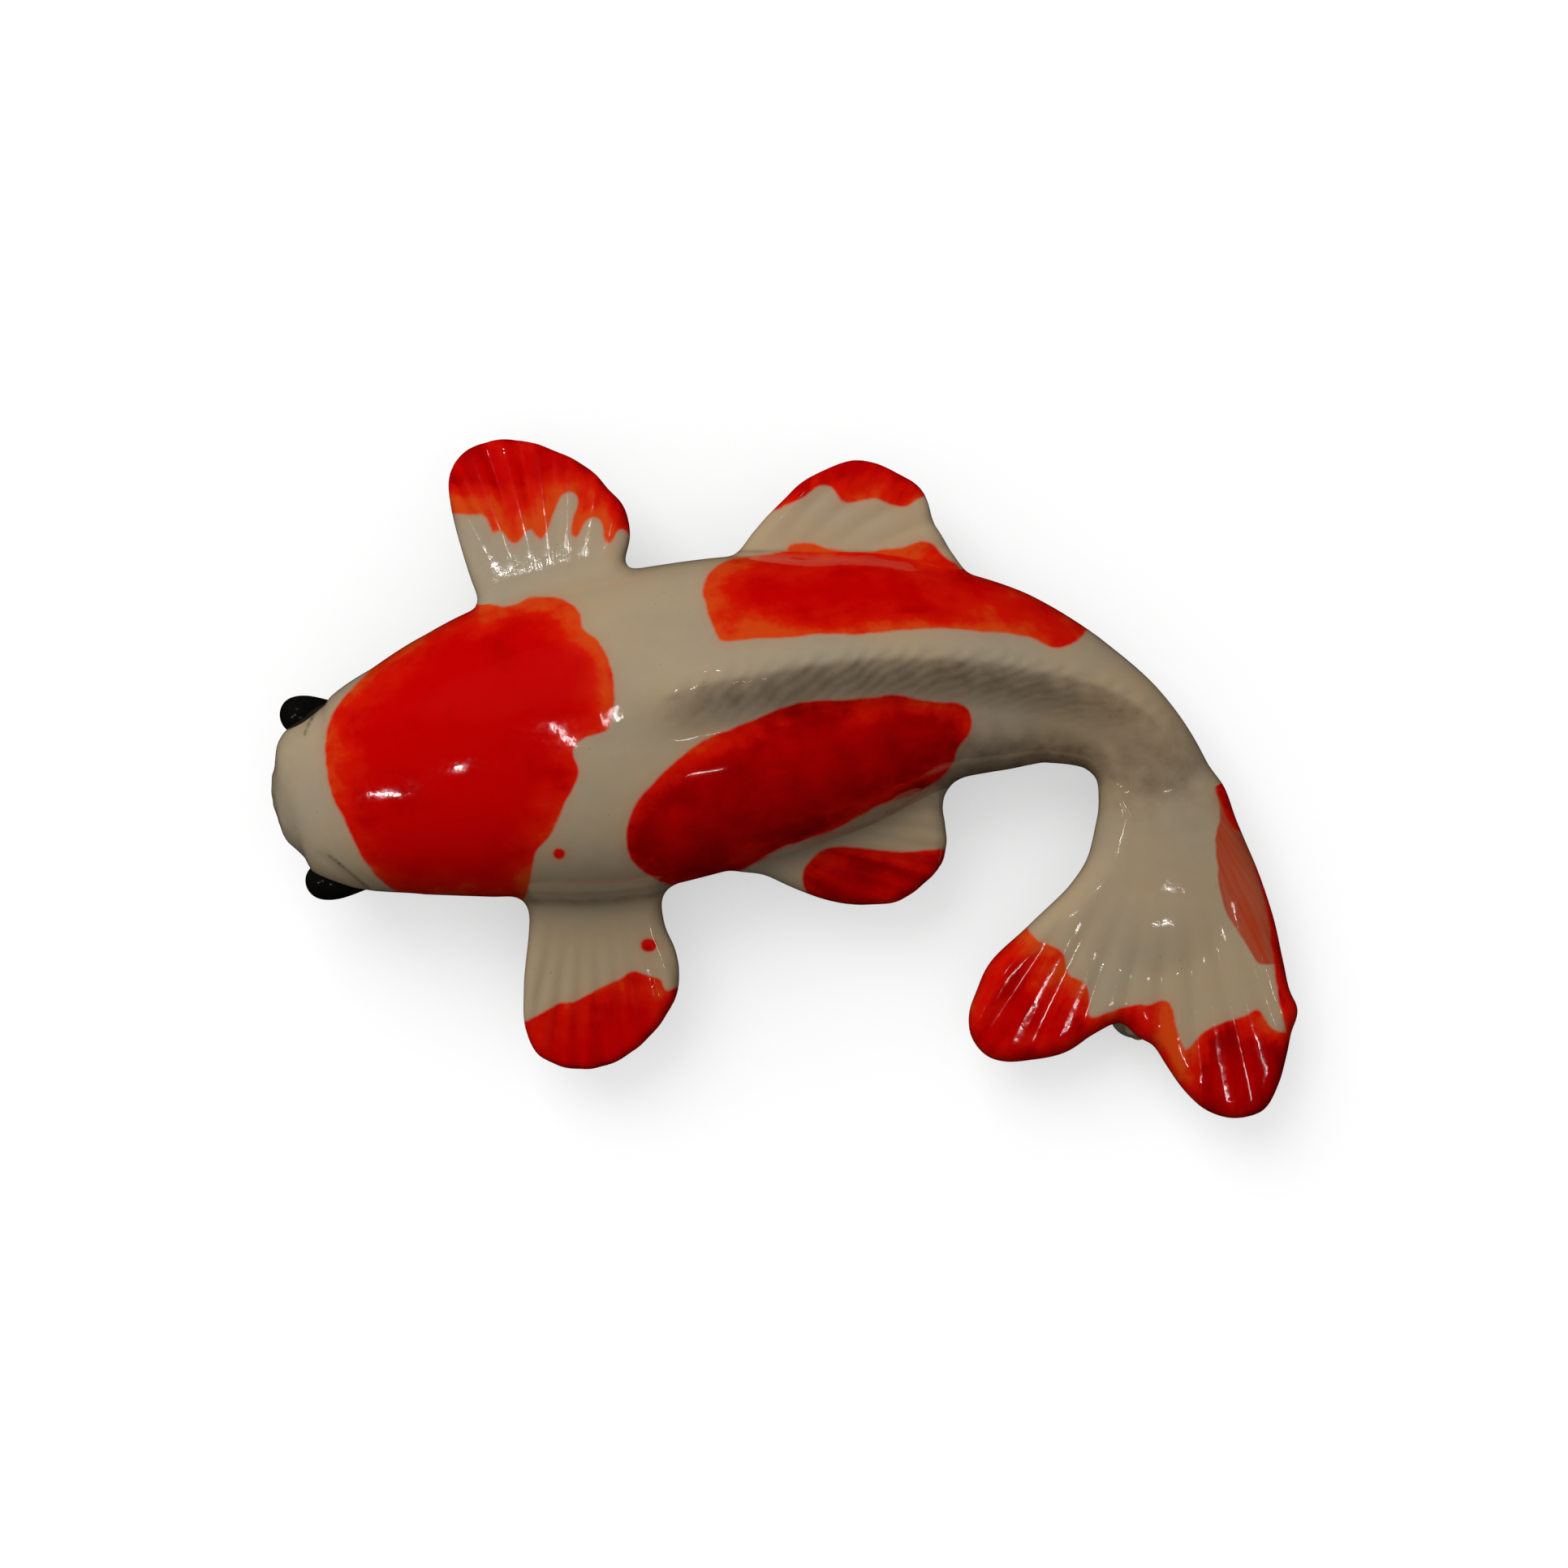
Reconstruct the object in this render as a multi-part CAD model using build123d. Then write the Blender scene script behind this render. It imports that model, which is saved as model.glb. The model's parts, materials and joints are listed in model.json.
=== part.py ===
from build123d import *
import math
import os

# A glazed ceramic koi seen from above: snout towards -X, back up, tail swept round towards -Y.
# Millimetres. The figurine stands on z = 0, and the origin is under the middle of its outline.

# Body: a hollow form made as two pressed halves that meet on one level seam.
SNOUT_X = -75.6
SNOUT_Y = -3.2
BODY_RUN = 131.0
BODY_BEND = 18.5
BODY_WIDTH = 46.6
BODY_HEIGHT = 36.0
BODY_WALL = 4.0
# The halves meet at this share of the body's height.
SEAM_SHARE = 0.4167
VENT_RADIUS = 2.5
# Clay slip between the body and each piece that is stuck on it.
SLIP_JOINT = 0.2

# Each row is one cross-section, from the snout back to the root of the tail:
# along the run, across the bend, half width, half height and height of the middle.
BODY_SHARES = [
    (0.0030, 0.004, 0.055, 0.058, 0.420),
    (0.0110, 0.012, 0.108, 0.116, 0.420),
    (0.0285, 0.036, 0.200, 0.215, 0.422),
    (0.0765, 0.062, 0.294, 0.305, 0.434),
    (0.1415, 0.160, 0.366, 0.376, 0.444),
    (0.2115, 0.288, 0.428, 0.432, 0.454),
    (0.2940, 0.434, 0.478, 0.479, 0.460),
    (0.3760, 0.525, 0.500, 0.500, 0.466),
    (0.4540, 0.636, 0.496, 0.500, 0.466),
    (0.5340, 0.759, 0.478, 0.480, 0.456),
    (0.6140, 0.870, 0.442, 0.442, 0.437),
    (0.6920, 0.973, 0.395, 0.396, 0.413),
    (0.7660, 1.000, 0.333, 0.342, 0.394),
    (0.8315, 0.946, 0.285, 0.289, 0.382),
    (0.8980, 0.816, 0.217, 0.233, 0.372),
    (0.9530, 0.595, 0.172, 0.184, 0.361),
    (0.9880, 0.270, 0.167, 0.157, 0.350),
    (1.0000, 0.000, 0.186, 0.144, 0.339),
]
BODY_POWER = 2.2
SECTION_POINTS = 12
# A section is hollow where it is higher than this many walls.
HOLLOW_SHARE = 2.4
VENT_SECTION = 8

# Fins and tail: pads of clay with rounded rims. Outlines run once round, across and then out from
# the root, as shares of the fin's chord and reach. They start and end inside the body.
TAIL_CHORD = 47.5
TAIL_REACH = 47.5
TAIL_ROOT_THICKNESS = 9.6
TAIL_TIP_THICKNESS = 4.4
TAIL_DROP = 3.0
TAIL_OUTLINE_SHARES = [
    (-0.110, -0.090), (-0.168, 0.045), (-0.179, 0.130), (-0.275, 0.253), (-0.412, 0.387),
    (-0.548, 0.528), (-0.596, 0.662), (-0.558, 0.781), (-0.477, 0.813), (-0.331, 0.788),
    (-0.210, 0.728), (-0.119, 0.692), (-0.040, 0.745), (0.023, 0.829), (0.144, 0.965),
    (0.250, 0.990), (0.351, 0.920), (0.407, 0.750), (0.424, 0.657), (0.387, 0.503),
    (0.326, 0.283), (0.225, 0.051), (0.178, -0.040), (0.100, -0.150),
]
# Peg that props the tail on the table, under the notch between the lobes.
PEG_TOP_RADIUS = 3.4
PEG_BASE_RADIUS = 4.0
PEG_PLACE_SHARES = (-0.055, 0.680)

PECTORAL_CHORD = 25.2
PECTORAL_REACH = 21.2
PECTORAL_ROOT_THICKNESS = 5.2
PECTORAL_TIP_THICKNESS = 3.0
PELVIC_CHORD = 31.0
PELVIC_REACH = 15.4
PELVIC_ROOT_THICKNESS = 5.0
PELVIC_TIP_THICKNESS = 3.0
RIGHT_PECTORAL_OUTLINE_SHARES = [
    (-0.367, -0.277), (-0.490, 0.175), (-0.595, 0.590), (-0.586, 0.855), (-0.433, 1.050),
    (-0.252, 1.085), (0.043, 0.985), (0.329, 0.696), (0.452, 0.442), (0.405, 0.113),
    (0.338, -0.277),
]
LEFT_PECTORAL_OUTLINE_SHARES = [
    (-0.357, -0.255), (-0.371, 0.113), (-0.405, 0.509), (-0.400, 0.928), (-0.324, 1.132),
    (-0.129, 1.234), (0.110, 1.200), (0.310, 1.042), (0.476, 0.736), (0.510, 0.453),
    (0.438, 0.141), (0.371, -0.283),
]
RIGHT_PELVIC_OUTLINE_SHARES = [
    (-0.372, -0.397), (-0.488, 0.094), (-0.364, 0.499), (-0.178, 0.826), (0.043, 0.990),
    (0.221, 0.873), (0.350, 0.665), (0.408, 0.390), (0.484, 0.060), (0.450, -0.450),
]
LEFT_PELVIC_OUTLINE_SHARES = [
    (-0.348, -0.023), (-0.484, 0.327), (-0.329, 0.561), (-0.097, 0.740), (0.112, 0.795),
    (0.290, 0.725), (0.426, 0.483), (0.488, 0.210), (0.484, -0.101), (0.457, -0.491),
    (0.310, -0.647),
]
# Middle of each root: along the body's run, across its bend, and height over the table.
RIGHT_PECTORAL_ROOT_SHARES = (0.3135, 1.700, 0.510)
LEFT_PECTORAL_ROOT_SHARES = (0.3585, -0.729, 0.375)
RIGHT_PELVIC_ROOT_SHARES = (0.6478, 1.905, 0.415)
LEFT_PELVIC_ROOT_SHARES = (0.6420, -0.164, 0.365)
# Degrees that each fin drops from level towards its tip.
RIGHT_PECTORAL_DROP = 16.0
LEFT_PECTORAL_DROP = 8.0
RIGHT_PELVIC_DROP = 8.0
LEFT_PELVIC_DROP = 10.0

# Rounding of a rim, from the underside to the top: share of the thickness, share of the inset.
RIM_INSET = 1.6
RIM_SHARES = [(-1.0, 1.0), (-0.7, 0.3), (0.0, 0.0), (0.7, 0.3), (1.0, 1.0)]

# Grooves between the rays, pressed into the top of a fin, fanned from a point inside the body.
GROOVE_DEPTH = 0.5
GROOVE_RADIUS = 1.1
# Grooves start this share of the way from the fan's centre to their ends.
GROOVE_START_SHARE = 0.42
# Each row: centre of the fan, end of the first groove, end of the last, and their number.
TAIL_RAY_SHARES = ((0.020, -0.300), (-0.620, 0.700), (0.420, 0.800), 12)
RIGHT_PECTORAL_RAY_SHARES = ((0.200, -1.100), (-0.560, 0.700), (0.420, 0.620), 7)
LEFT_PECTORAL_RAY_SHARES = ((-0.020, -1.300), (-0.330, 1.180), (0.440, 0.860), 7)
RIGHT_PELVIC_RAY_SHARES = ((-0.450, -1.700), (-0.200, 0.900), (0.460, 0.360), 6)
LEFT_PELVIC_RAY_SHARES = ((-1.300, -0.300), (-0.060, 0.800), (0.500, 0.000), 6)

# Dorsal fin: a low wave-shaped ridge, steep on the left side of the fish and long on the right.
RIDGE_HEIGHT = 5.2
RIDGE_WIDTH = 16.0
# Number of the body section, place of the crest across its half width, and height.
RIDGE_SHARES = [
    (7.80, 0.16, 0.42),
    (9.00, 0.21, 0.90),
    (10.30, 0.21, 1.00),
    (11.60, 0.17, 0.96),
    (12.80, 0.22, 0.84),
    (14.00, 0.38, 0.66),
    (15.10, 0.56, 0.42),
]
RIDGE_FRONT_SHARES = (7.20, 0.10)
RIDGE_REAR_SHARES = (16.00, 0.66)
# Outline of the ridge, around its crest: across and up.
RIDGE_OUTLINE_SHARES = [
    (0.000, 1.000),
    (-0.120, 0.780),
    (-0.300, 0.120),
    (-0.480, -0.620),
    (-0.060, -1.200),
    (0.400, -0.900),
    (0.600, -0.360),
    (0.330, 0.400),
    (0.120, 0.880),
]

# Eyes: black beads, round in front and drawn out to a point behind.
EYE_LENGTH = 8.8
EYE_RADIUS = 2.8
EYE_TALL_SHARE = 1.15
EYE_POWER = 2.0
EYE_PROFILE_SHARES = [
    (0.160, 0.300),
    (0.360, 0.640),
    (0.560, 0.920),
    (0.720, 1.000),
    (0.870, 0.800),
    (0.965, 0.420),
]
# Rear point of each bead: body section, share of its half width, and share of the body's height.
RIGHT_EYE_SHARES = (3.088, 0.9624, 0.4556)
LEFT_EYE_SHARES = (3.150, -0.9725, 0.4556)
# Degrees that each bead is turned from the length of the fish.
RIGHT_EYE_TURN = 19.0
LEFT_EYE_TURN = -10.0


def along_rows(rows, number):
    """Row of a table at a number that may lie between two rows."""
    low = min(int(number), len(rows) - 2)
    part = number - low
    return [a + (b - a) * part for a, b in zip(rows[low], rows[low + 1])]


def body_place(run_share, bend_share, height_share):
    """A point given along the body's run, across its bend and over the table."""
    x = SNOUT_X + BODY_RUN * run_share
    y = SNOUT_Y + BODY_BEND * bend_share
    return Vector(x, y, BODY_HEIGHT * height_share)


def body_section(number):
    """Middle point, half width and half height of the body at a section number."""
    run, bend, half_width, half_height, height = along_rows(BODY_SHARES, number)
    return body_place(run, bend, height), BODY_WIDTH * half_width, BODY_HEIGHT * half_height


def body_side(number):
    """Level direction from the middle line to the right side of the fish."""
    last = len(BODY_SHARES) - 1
    before, _, _ = body_section(max(number - 1, 0))
    after, _, _ = body_section(min(number + 1, last))
    ahead = after - before
    return Vector(-ahead.Y, ahead.X, 0).normalized()


def rounded(angle, power):
    """Point of a unit superellipse."""
    c, s = math.cos(angle), math.sin(angle)
    return math.copysign(abs(c) ** (2 / power), c), math.copysign(abs(s) ** (2 / power), s)


def ring_face(points):
    """Face inside a smooth closed curve through points. Every ring divides its curve alike."""
    stops = [i / len(points) for i in range(len(points) + 1)]
    return Face(Wire([Edge.make_spline(points, periodic=True, parameters=stops)]))


def oval_face(middle, side, half_width, half_height, power):
    """Upright oval around a point, as wide as given along side."""
    points = []
    for i in range(SECTION_POINTS):
        across, rise = rounded(2 * math.pi * i / SECTION_POINTS, power)
        points.append(middle + side * (half_width * across) + Vector(0, 0, half_height * rise))
    return ring_face(points)


def body_form(margin=0):
    """The whole outer form of the body, grown by a margin, with a flat face at the tail's root."""
    front, _, _ = body_section(0)
    faces = [Vertex(SNOUT_X - margin, SNOUT_Y, front.Z)]
    for i in range(len(BODY_SHARES)):
        middle, half_width, half_height = body_section(i)
        half_width, half_height = half_width + margin, half_height + margin
        faces.append(oval_face(middle, body_side(i), half_width, half_height, BODY_POWER))
    return loft(faces)


def body_cavity():
    """The hollow inside: each section that has room for it, taken in by the wall."""
    faces = []
    for i in range(len(BODY_SHARES)):
        middle, half_width, half_height = body_section(i)
        if half_height > HOLLOW_SHARE * BODY_WALL:
            half_width, half_height = half_width - BODY_WALL, half_height - BODY_WALL
            faces.append(oval_face(middle, body_side(i), half_width, half_height, BODY_POWER))
    return loft(faces)


def slab(low, high):
    """A block that covers the whole figurine between two heights."""
    reach = 2 * (BODY_RUN + TAIL_REACH + PECTORAL_REACH)
    return Pos(0, 0, (low + high) / 2) * Box(reach, reach, high - low)


def body_halves():
    """Upper and lower half of the body, the lower one with the flat foot and the vent hole."""
    shell = body_form() - body_cavity()
    seam = BODY_HEIGHT * SEAM_SHARE
    back = shell & slab(seam, 2 * BODY_HEIGHT)
    belly = shell & slab(0, seam)
    vent, _, _ = body_section(VENT_SECTION)
    return back, belly - Pos(vent.X, vent.Y, 0) * Cylinder(VENT_RADIUS, BODY_HEIGHT)


def inset_outline(points, inset):
    """A plan outline moved inwards, square to itself."""
    turn = sum(a.X * b.Y - b.X * a.Y for a, b in zip(points, points[1:] + points[:1]))
    inwards = math.copysign(inset, turn)
    moved = []
    for i, point in enumerate(points):
        ahead = (points[(i + 1) % len(points)] - points[i - 1]).normalized()
        moved.append(point + Vector(-ahead.Y, ahead.X) * inwards)
    return moved


class Pad:
    """A clay fin: its root, the directions along, out and up, and its sizes."""

    def __init__(self, root, along, out, drop, chord, reach, root_thickness, tip_thickness):
        fall = math.radians(drop)
        self.root = root
        self.along = along
        self.out = out * math.cos(fall) - Vector(0, 0, math.sin(fall))
        self.up = out * math.sin(fall) + Vector(0, 0, math.cos(fall))
        self.chord = chord
        self.reach = reach
        self.root_thickness = root_thickness
        self.tip_thickness = tip_thickness

    def point(self, across, away, side):
        """Point so far along and out, on the top (side 1), in the middle (0) or underneath (-1)."""
        part = away / self.reach
        thickness = self.root_thickness + (self.tip_thickness - self.root_thickness) * part
        lift = self.up * (thickness / 2 * side)
        return self.root + self.along * across + self.out * away + lift

    def place(self, shares, side):
        """The same, given as shares of the chord and the reach."""
        return self.point(self.chord * shares[0], self.reach * shares[1], side)

    def form(self, outline_shares):
        plan = [Vector(self.chord * a, self.reach * o) for a, o in outline_shares]
        faces = []
        for side, inset_share in RIM_SHARES:
            rim = inset_outline(plan, RIM_INSET * inset_share)
            faces.append(ring_face([self.point(p.X, p.Y, side) for p in rim]))
        return loft(faces)

    def grooves(self, centre, first, last, count):
        """Round-bottomed cuts along the top, fanned about a centre and run out past the rim."""
        cuts = []
        for i in range(count):
            part = i / (count - 1)
            end_shares = [a + (b - a) * part for a, b in zip(first, last)]
            start_shares = [c + (e - c) * GROOVE_START_SHARE for c, e in zip(centre, end_shares)]
            start = self.place(start_shares, 1)
            run = self.place(end_shares, 1) - start
            length = run.length + RIM_INSET
            lift = self.up * (GROOVE_RADIUS - GROOVE_DEPTH)
            rod = Cylinder(GROOVE_RADIUS, length, align=(Align.CENTER, Align.CENTER, Align.MIN))
            cuts.append(Plane(origin=start + lift, z_dir=run) * rod)
        return cuts


def outer_piece(shape):
    """The largest solid of a shape that a cut may have left in several."""
    return max(shape.solids(), key=lambda s: s.volume)


def fin(pad, outline_shares, ray_shares, seat):
    """A fin that fits round the body, with the grooves between its rays."""
    form = pad.form(outline_shares) - pad.grooves(*ray_shares)
    return outer_piece(form - seat)


def tail_pad():
    root, _, _ = body_section(len(BODY_SHARES) - 1)
    along, out = Vector(1, 0, 0), Vector(0, -1, 0)
    sizes = (TAIL_CHORD, TAIL_REACH, TAIL_ROOT_THICKNESS, TAIL_TIP_THICKNESS)
    return Pad(root, along, out, TAIL_DROP, *sizes)


def tail_fan(pad):
    """The tail, butted against the flat end of the body."""
    last = len(BODY_SHARES) - 1
    root, _, _ = body_section(last)
    ahead = body_side(last).cross(Vector(0, 0, 1))
    form = pad.form(TAIL_OUTLINE_SHARES) - pad.grooves(*TAIL_RAY_SHARES)
    return outer_piece(split(form, bisect_by=Plane(origin=root, z_dir=ahead), keep=Keep.TOP))


def pectoral_pad(root_shares, outward, drop):
    """Outward is +1 for the right side of the fish."""
    along, out = Vector(1, 0, 0), Vector(0, outward, 0)
    sizes = (PECTORAL_CHORD, PECTORAL_REACH, PECTORAL_ROOT_THICKNESS, PECTORAL_TIP_THICKNESS)
    return Pad(body_place(*root_shares), along, out, drop, *sizes)


def pelvic_pad(root_shares, outward, drop):
    """Outward is +1 for the right side of the fish."""
    along, out = Vector(1, 0, 0), Vector(0, outward, 0)
    sizes = (PELVIC_CHORD, PELVIC_REACH, PELVIC_ROOT_THICKNESS, PELVIC_TIP_THICKNESS)
    return Pad(body_place(*root_shares), along, out, drop, *sizes)


def tail_peg(pad):
    """The prop under the tail: a stub cut off by the tail's sloping underside."""
    spot = pad.place(PEG_PLACE_SHARES, -1)
    nearer = pad.place((PEG_PLACE_SHARES[0], 0), -1)
    underside = Plane(origin=spot, x_dir=pad.along, z_dir=(nearer - spot).cross(pad.along))
    foot = (Align.CENTER, Align.CENTER, Align.MIN)
    stub = Pos(spot.X, spot.Y, 0) * Cone(PEG_BASE_RADIUS, PEG_TOP_RADIUS, 2 * spot.Z, align=foot)
    halves = split(stub, bisect_by=underside, keep=Keep.BOTH).solids()
    return min(halves, key=lambda s: s.center().Z)


def ridge_base(number, across):
    """Point on the body's surface, at a section number and a share of its half width."""
    middle, half_width, half_height = body_section(number)
    rise = (1 - abs(across) ** BODY_POWER) ** (1 / BODY_POWER)
    side = body_side(number)
    return middle + side * (half_width * across) + Vector(0, 0, half_height * rise), side


def dorsal_ridge():
    start, _ = ridge_base(*RIDGE_FRONT_SHARES)
    faces = [Vertex(start.X, start.Y, start.Z)]
    for number, across, height in RIDGE_SHARES:
        base, side = ridge_base(number, across)
        _, half_width, _ = body_section(number)
        wide = min(RIDGE_WIDTH, half_width)
        points = []
        for aside, rise in RIDGE_OUTLINE_SHARES:
            lift = Vector(0, 0, RIDGE_HEIGHT * height * rise)
            points.append(base + side * (wide * aside) + lift)
        faces.append(ring_face(points))
    end, _ = ridge_base(*RIDGE_REAR_SHARES)
    faces.append(Vertex(end.X, end.Y, end.Z))
    return loft(faces)


def eye(place_shares, turn):
    """Bead on the side of the head, from its point behind to its round front."""
    number, aside, rise = place_shares
    middle, half_width, _ = body_section(number)
    spot = middle + body_side(number) * (half_width * aside)
    rear = Vector(spot.X, spot.Y, BODY_HEIGHT * rise)
    axis = Vector(-EYE_LENGTH, 0, 0).rotate(Axis.Z, turn)
    across = Vector(0, 1, 0).rotate(Axis.Z, turn)
    front = rear + axis
    faces = [Vertex(rear.X, rear.Y, rear.Z)]
    for along, share in EYE_PROFILE_SHARES:
        radius = EYE_RADIUS * share
        middle = rear + axis * along
        faces.append(oval_face(middle, across, radius, radius * EYE_TALL_SHARE, EYE_POWER))
    faces.append(Vertex(front.X, front.Y, front.Z))
    return loft(faces)


def fins(seat):
    """The four paired fins, by name."""
    right_pectoral = pectoral_pad(RIGHT_PECTORAL_ROOT_SHARES, 1, RIGHT_PECTORAL_DROP)
    left_pectoral = pectoral_pad(LEFT_PECTORAL_ROOT_SHARES, -1, LEFT_PECTORAL_DROP)
    right_pelvic = pelvic_pad(RIGHT_PELVIC_ROOT_SHARES, 1, RIGHT_PELVIC_DROP)
    left_pelvic = pelvic_pad(LEFT_PELVIC_ROOT_SHARES, -1, LEFT_PELVIC_DROP)
    facts = {
        "right_pectoral_fin": (right_pectoral, RIGHT_PECTORAL_OUTLINE_SHARES, RIGHT_PECTORAL_RAY_SHARES),
        "left_pectoral_fin": (left_pectoral, LEFT_PECTORAL_OUTLINE_SHARES, LEFT_PECTORAL_RAY_SHARES),
        "right_pelvic_fin": (right_pelvic, RIGHT_PELVIC_OUTLINE_SHARES, RIGHT_PELVIC_RAY_SHARES),
        "left_pelvic_fin": (left_pelvic, LEFT_PELVIC_OUTLINE_SHARES, LEFT_PELVIC_RAY_SHARES),
    }
    return {name: fin(*fact, seat) for name, fact in facts.items()}


def build():
    seat = body_form(SLIP_JOINT)
    back, belly = body_halves()
    tail = tail_pad()
    pieces = {
        "back_shell": back,
        "belly_shell": belly,
        "tail_fin": tail_fan(tail),
        "tail_peg": tail_peg(tail),
        "dorsal_fin": outer_piece(dorsal_ridge() - seat),
        "right_eye": outer_piece(eye(RIGHT_EYE_SHARES, RIGHT_EYE_TURN) - seat),
        "left_eye": outer_piece(eye(LEFT_EYE_SHARES, LEFT_EYE_TURN) - seat),
    }
    pieces.update(fins(seat))
    return pieces


os.makedirs("parts", exist_ok=True)
for node, shape in build().items():
    export_step(shape, f"parts/{node}.step")
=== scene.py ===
import json
import math

import bpy
import numpy as np
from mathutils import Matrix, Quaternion, Vector
from mathutils.geometry import delaunay_2d_cdt

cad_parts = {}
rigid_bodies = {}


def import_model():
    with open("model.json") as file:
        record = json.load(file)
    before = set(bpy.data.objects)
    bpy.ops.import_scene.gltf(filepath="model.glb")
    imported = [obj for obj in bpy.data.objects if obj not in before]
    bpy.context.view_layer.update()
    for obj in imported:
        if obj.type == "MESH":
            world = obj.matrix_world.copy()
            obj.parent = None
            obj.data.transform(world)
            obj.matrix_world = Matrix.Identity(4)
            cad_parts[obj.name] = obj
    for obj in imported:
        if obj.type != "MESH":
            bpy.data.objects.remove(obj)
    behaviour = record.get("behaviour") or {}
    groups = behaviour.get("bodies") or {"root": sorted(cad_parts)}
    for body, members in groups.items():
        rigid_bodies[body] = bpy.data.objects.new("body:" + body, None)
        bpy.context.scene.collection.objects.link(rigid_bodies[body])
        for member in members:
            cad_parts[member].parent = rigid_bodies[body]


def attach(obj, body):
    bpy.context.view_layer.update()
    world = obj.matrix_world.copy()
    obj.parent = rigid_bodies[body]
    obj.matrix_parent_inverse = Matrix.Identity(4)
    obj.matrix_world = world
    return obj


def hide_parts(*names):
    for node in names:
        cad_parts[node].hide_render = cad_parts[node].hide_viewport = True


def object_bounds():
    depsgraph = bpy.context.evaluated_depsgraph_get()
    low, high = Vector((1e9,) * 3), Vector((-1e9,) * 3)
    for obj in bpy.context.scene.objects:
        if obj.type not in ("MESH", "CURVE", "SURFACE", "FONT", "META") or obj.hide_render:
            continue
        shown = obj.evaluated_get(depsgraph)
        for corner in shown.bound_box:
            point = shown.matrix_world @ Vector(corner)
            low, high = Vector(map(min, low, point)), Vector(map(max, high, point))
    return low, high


# A glazed ceramic koi lying on a white table, seen from straight above.
# Shapes are worked out in millimetres in the model's frame and go into Blender in metres.

for leftover in list(bpy.data.objects):
    bpy.data.objects.remove(leftover)
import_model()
CAD_BOX = [list(map(float, corner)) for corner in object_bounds()]
MM = 0.001

# The photograph: the pixel over the model's origin, and the size of a pixel at the fish's sides.
PHOTO_PIXELS = 1932
ORIGIN_PIXEL = (969.0, 961.0)
PIXEL = 0.12

# The camera looks straight down. Most of the fish's outline is about this high over the table.
OUTLINE_HEIGHT = 13.0
CAMERA_HEIGHT = 600.0
SENSOR = 36.0

# Body, from the snout to the root of the tail: the rows of the solid model's sections, but for
# a slightly blunter snout.
SNOUT = (-75.6, -3.2)
BODY_RUN = 131.0
BODY_BEND = 18.5
BODY_WIDTH = 46.6
BODY_HEIGHT = 36.0
BODY_POWER = 2.2
SEAM_HEIGHT = 15.0
# Along the run, across the bend, half width, half height and height of the middle.
BODY_SHARES = [
    (0.0030, 0.004, 0.072, 0.073, 0.420),
    (0.0110, 0.012, 0.137, 0.140, 0.420),
    (0.0285, 0.036, 0.216, 0.222, 0.422),
    (0.0765, 0.062, 0.300, 0.305, 0.434),
    (0.1415, 0.160, 0.366, 0.376, 0.444),
    (0.2115, 0.288, 0.428, 0.432, 0.454),
    (0.2940, 0.434, 0.478, 0.479, 0.460),
    (0.3760, 0.525, 0.500, 0.500, 0.466),
    (0.4540, 0.636, 0.496, 0.500, 0.466),
    (0.5340, 0.759, 0.478, 0.480, 0.456),
    (0.6140, 0.870, 0.442, 0.442, 0.437),
    (0.6920, 0.973, 0.395, 0.396, 0.413),
    (0.7660, 1.000, 0.333, 0.342, 0.394),
    (0.8315, 0.946, 0.285, 0.289, 0.382),
    (0.8980, 0.816, 0.217, 0.233, 0.372),
    (0.9530, 0.595, 0.172, 0.184, 0.361),
    (0.9880, 0.270, 0.167, 0.157, 0.350),
    (1.0000, 0.000, 0.186, 0.144, 0.339),
]
# The stalk runs on into the tail: x, y, half width, half height, height of the middle.
STALK_ROWS = [
    (55.6, -9.5, 9.6, 4.7, 12.0),
    (54.4, -16.5, 9.4, 3.9, 11.6),
]

# Outlines of the fins and the tail in the photograph, in pixels. They start and end in the body.
TAIL_OUTLINE = [
    (1440, 985), (1362, 975), (1362, 996), (1357, 1028), (1350, 1051), (1322, 1088), (1268, 1141),
    (1214, 1197), (1204, 1222), (1195, 1248), (1198, 1280), (1217, 1303), (1242, 1310),
    (1277, 1307), (1322, 1295), (1348, 1276), (1384, 1262), (1405, 1280), (1421, 1288),
    (1437, 1311), (1462, 1346), (1488, 1370), (1526, 1380), (1558, 1372), (1577, 1340),
    (1590, 1295), (1594, 1270), (1601, 1252), (1601, 1240), (1594, 1228), (1584, 1187),
    (1568, 1123), (1545, 1059), (1520, 1008), (1496, 965), (1470, 960),
]
RIGHT_PECTORAL_OUTLINE = [
    (640, 800), (597, 745), (572, 680), (556, 620), (554, 590), (560, 570), (590, 547), (625, 541),
    (650, 544), (690, 558), (730, 581), (750, 603), (770, 626), (778, 660), (768, 706), (770, 770),
]
LEFT_PECTORAL_OUTLINE = [
    (660, 1050), (652, 1100), (653, 1126), (645, 1222), (646, 1264), (657, 1295), (692, 1316),
    (715, 1319), (753, 1312), (791, 1287), (820, 1253), (836, 1218), (837, 1195), (832, 1169),
    (820, 1142), (815, 1113), (812, 1050),
]
RIGHT_PELVIC_OUTLINE = [
    (930, 740), (913, 685), (941, 642), (962, 620), (990, 593), (1011, 582), (1057, 567),
    (1103, 582), (1137, 606), (1150, 645), (1166, 672), (1182, 706), (1170, 740),
]
LEFT_PELVIC_OUTLINE = [
    (925, 1015), (911, 1066), (941, 1077), (973, 1092), (1015, 1108), (1050, 1115), (1069, 1115),
    (1104, 1112), (1139, 1089), (1161, 1064), (1166, 1045), (1161, 987), (1166, 940), (1060, 970),
]


def from_photo(pixels):
    """Places in millimetres of pixels of the photograph, seen from straight above."""
    p = np.asarray(pixels, float)
    return np.stack([(p[:, 0] - ORIGIN_PIXEL[0]) * PIXEL, (ORIGIN_PIXEL[1] - p[:, 1]) * PIXEL], 1)


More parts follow.
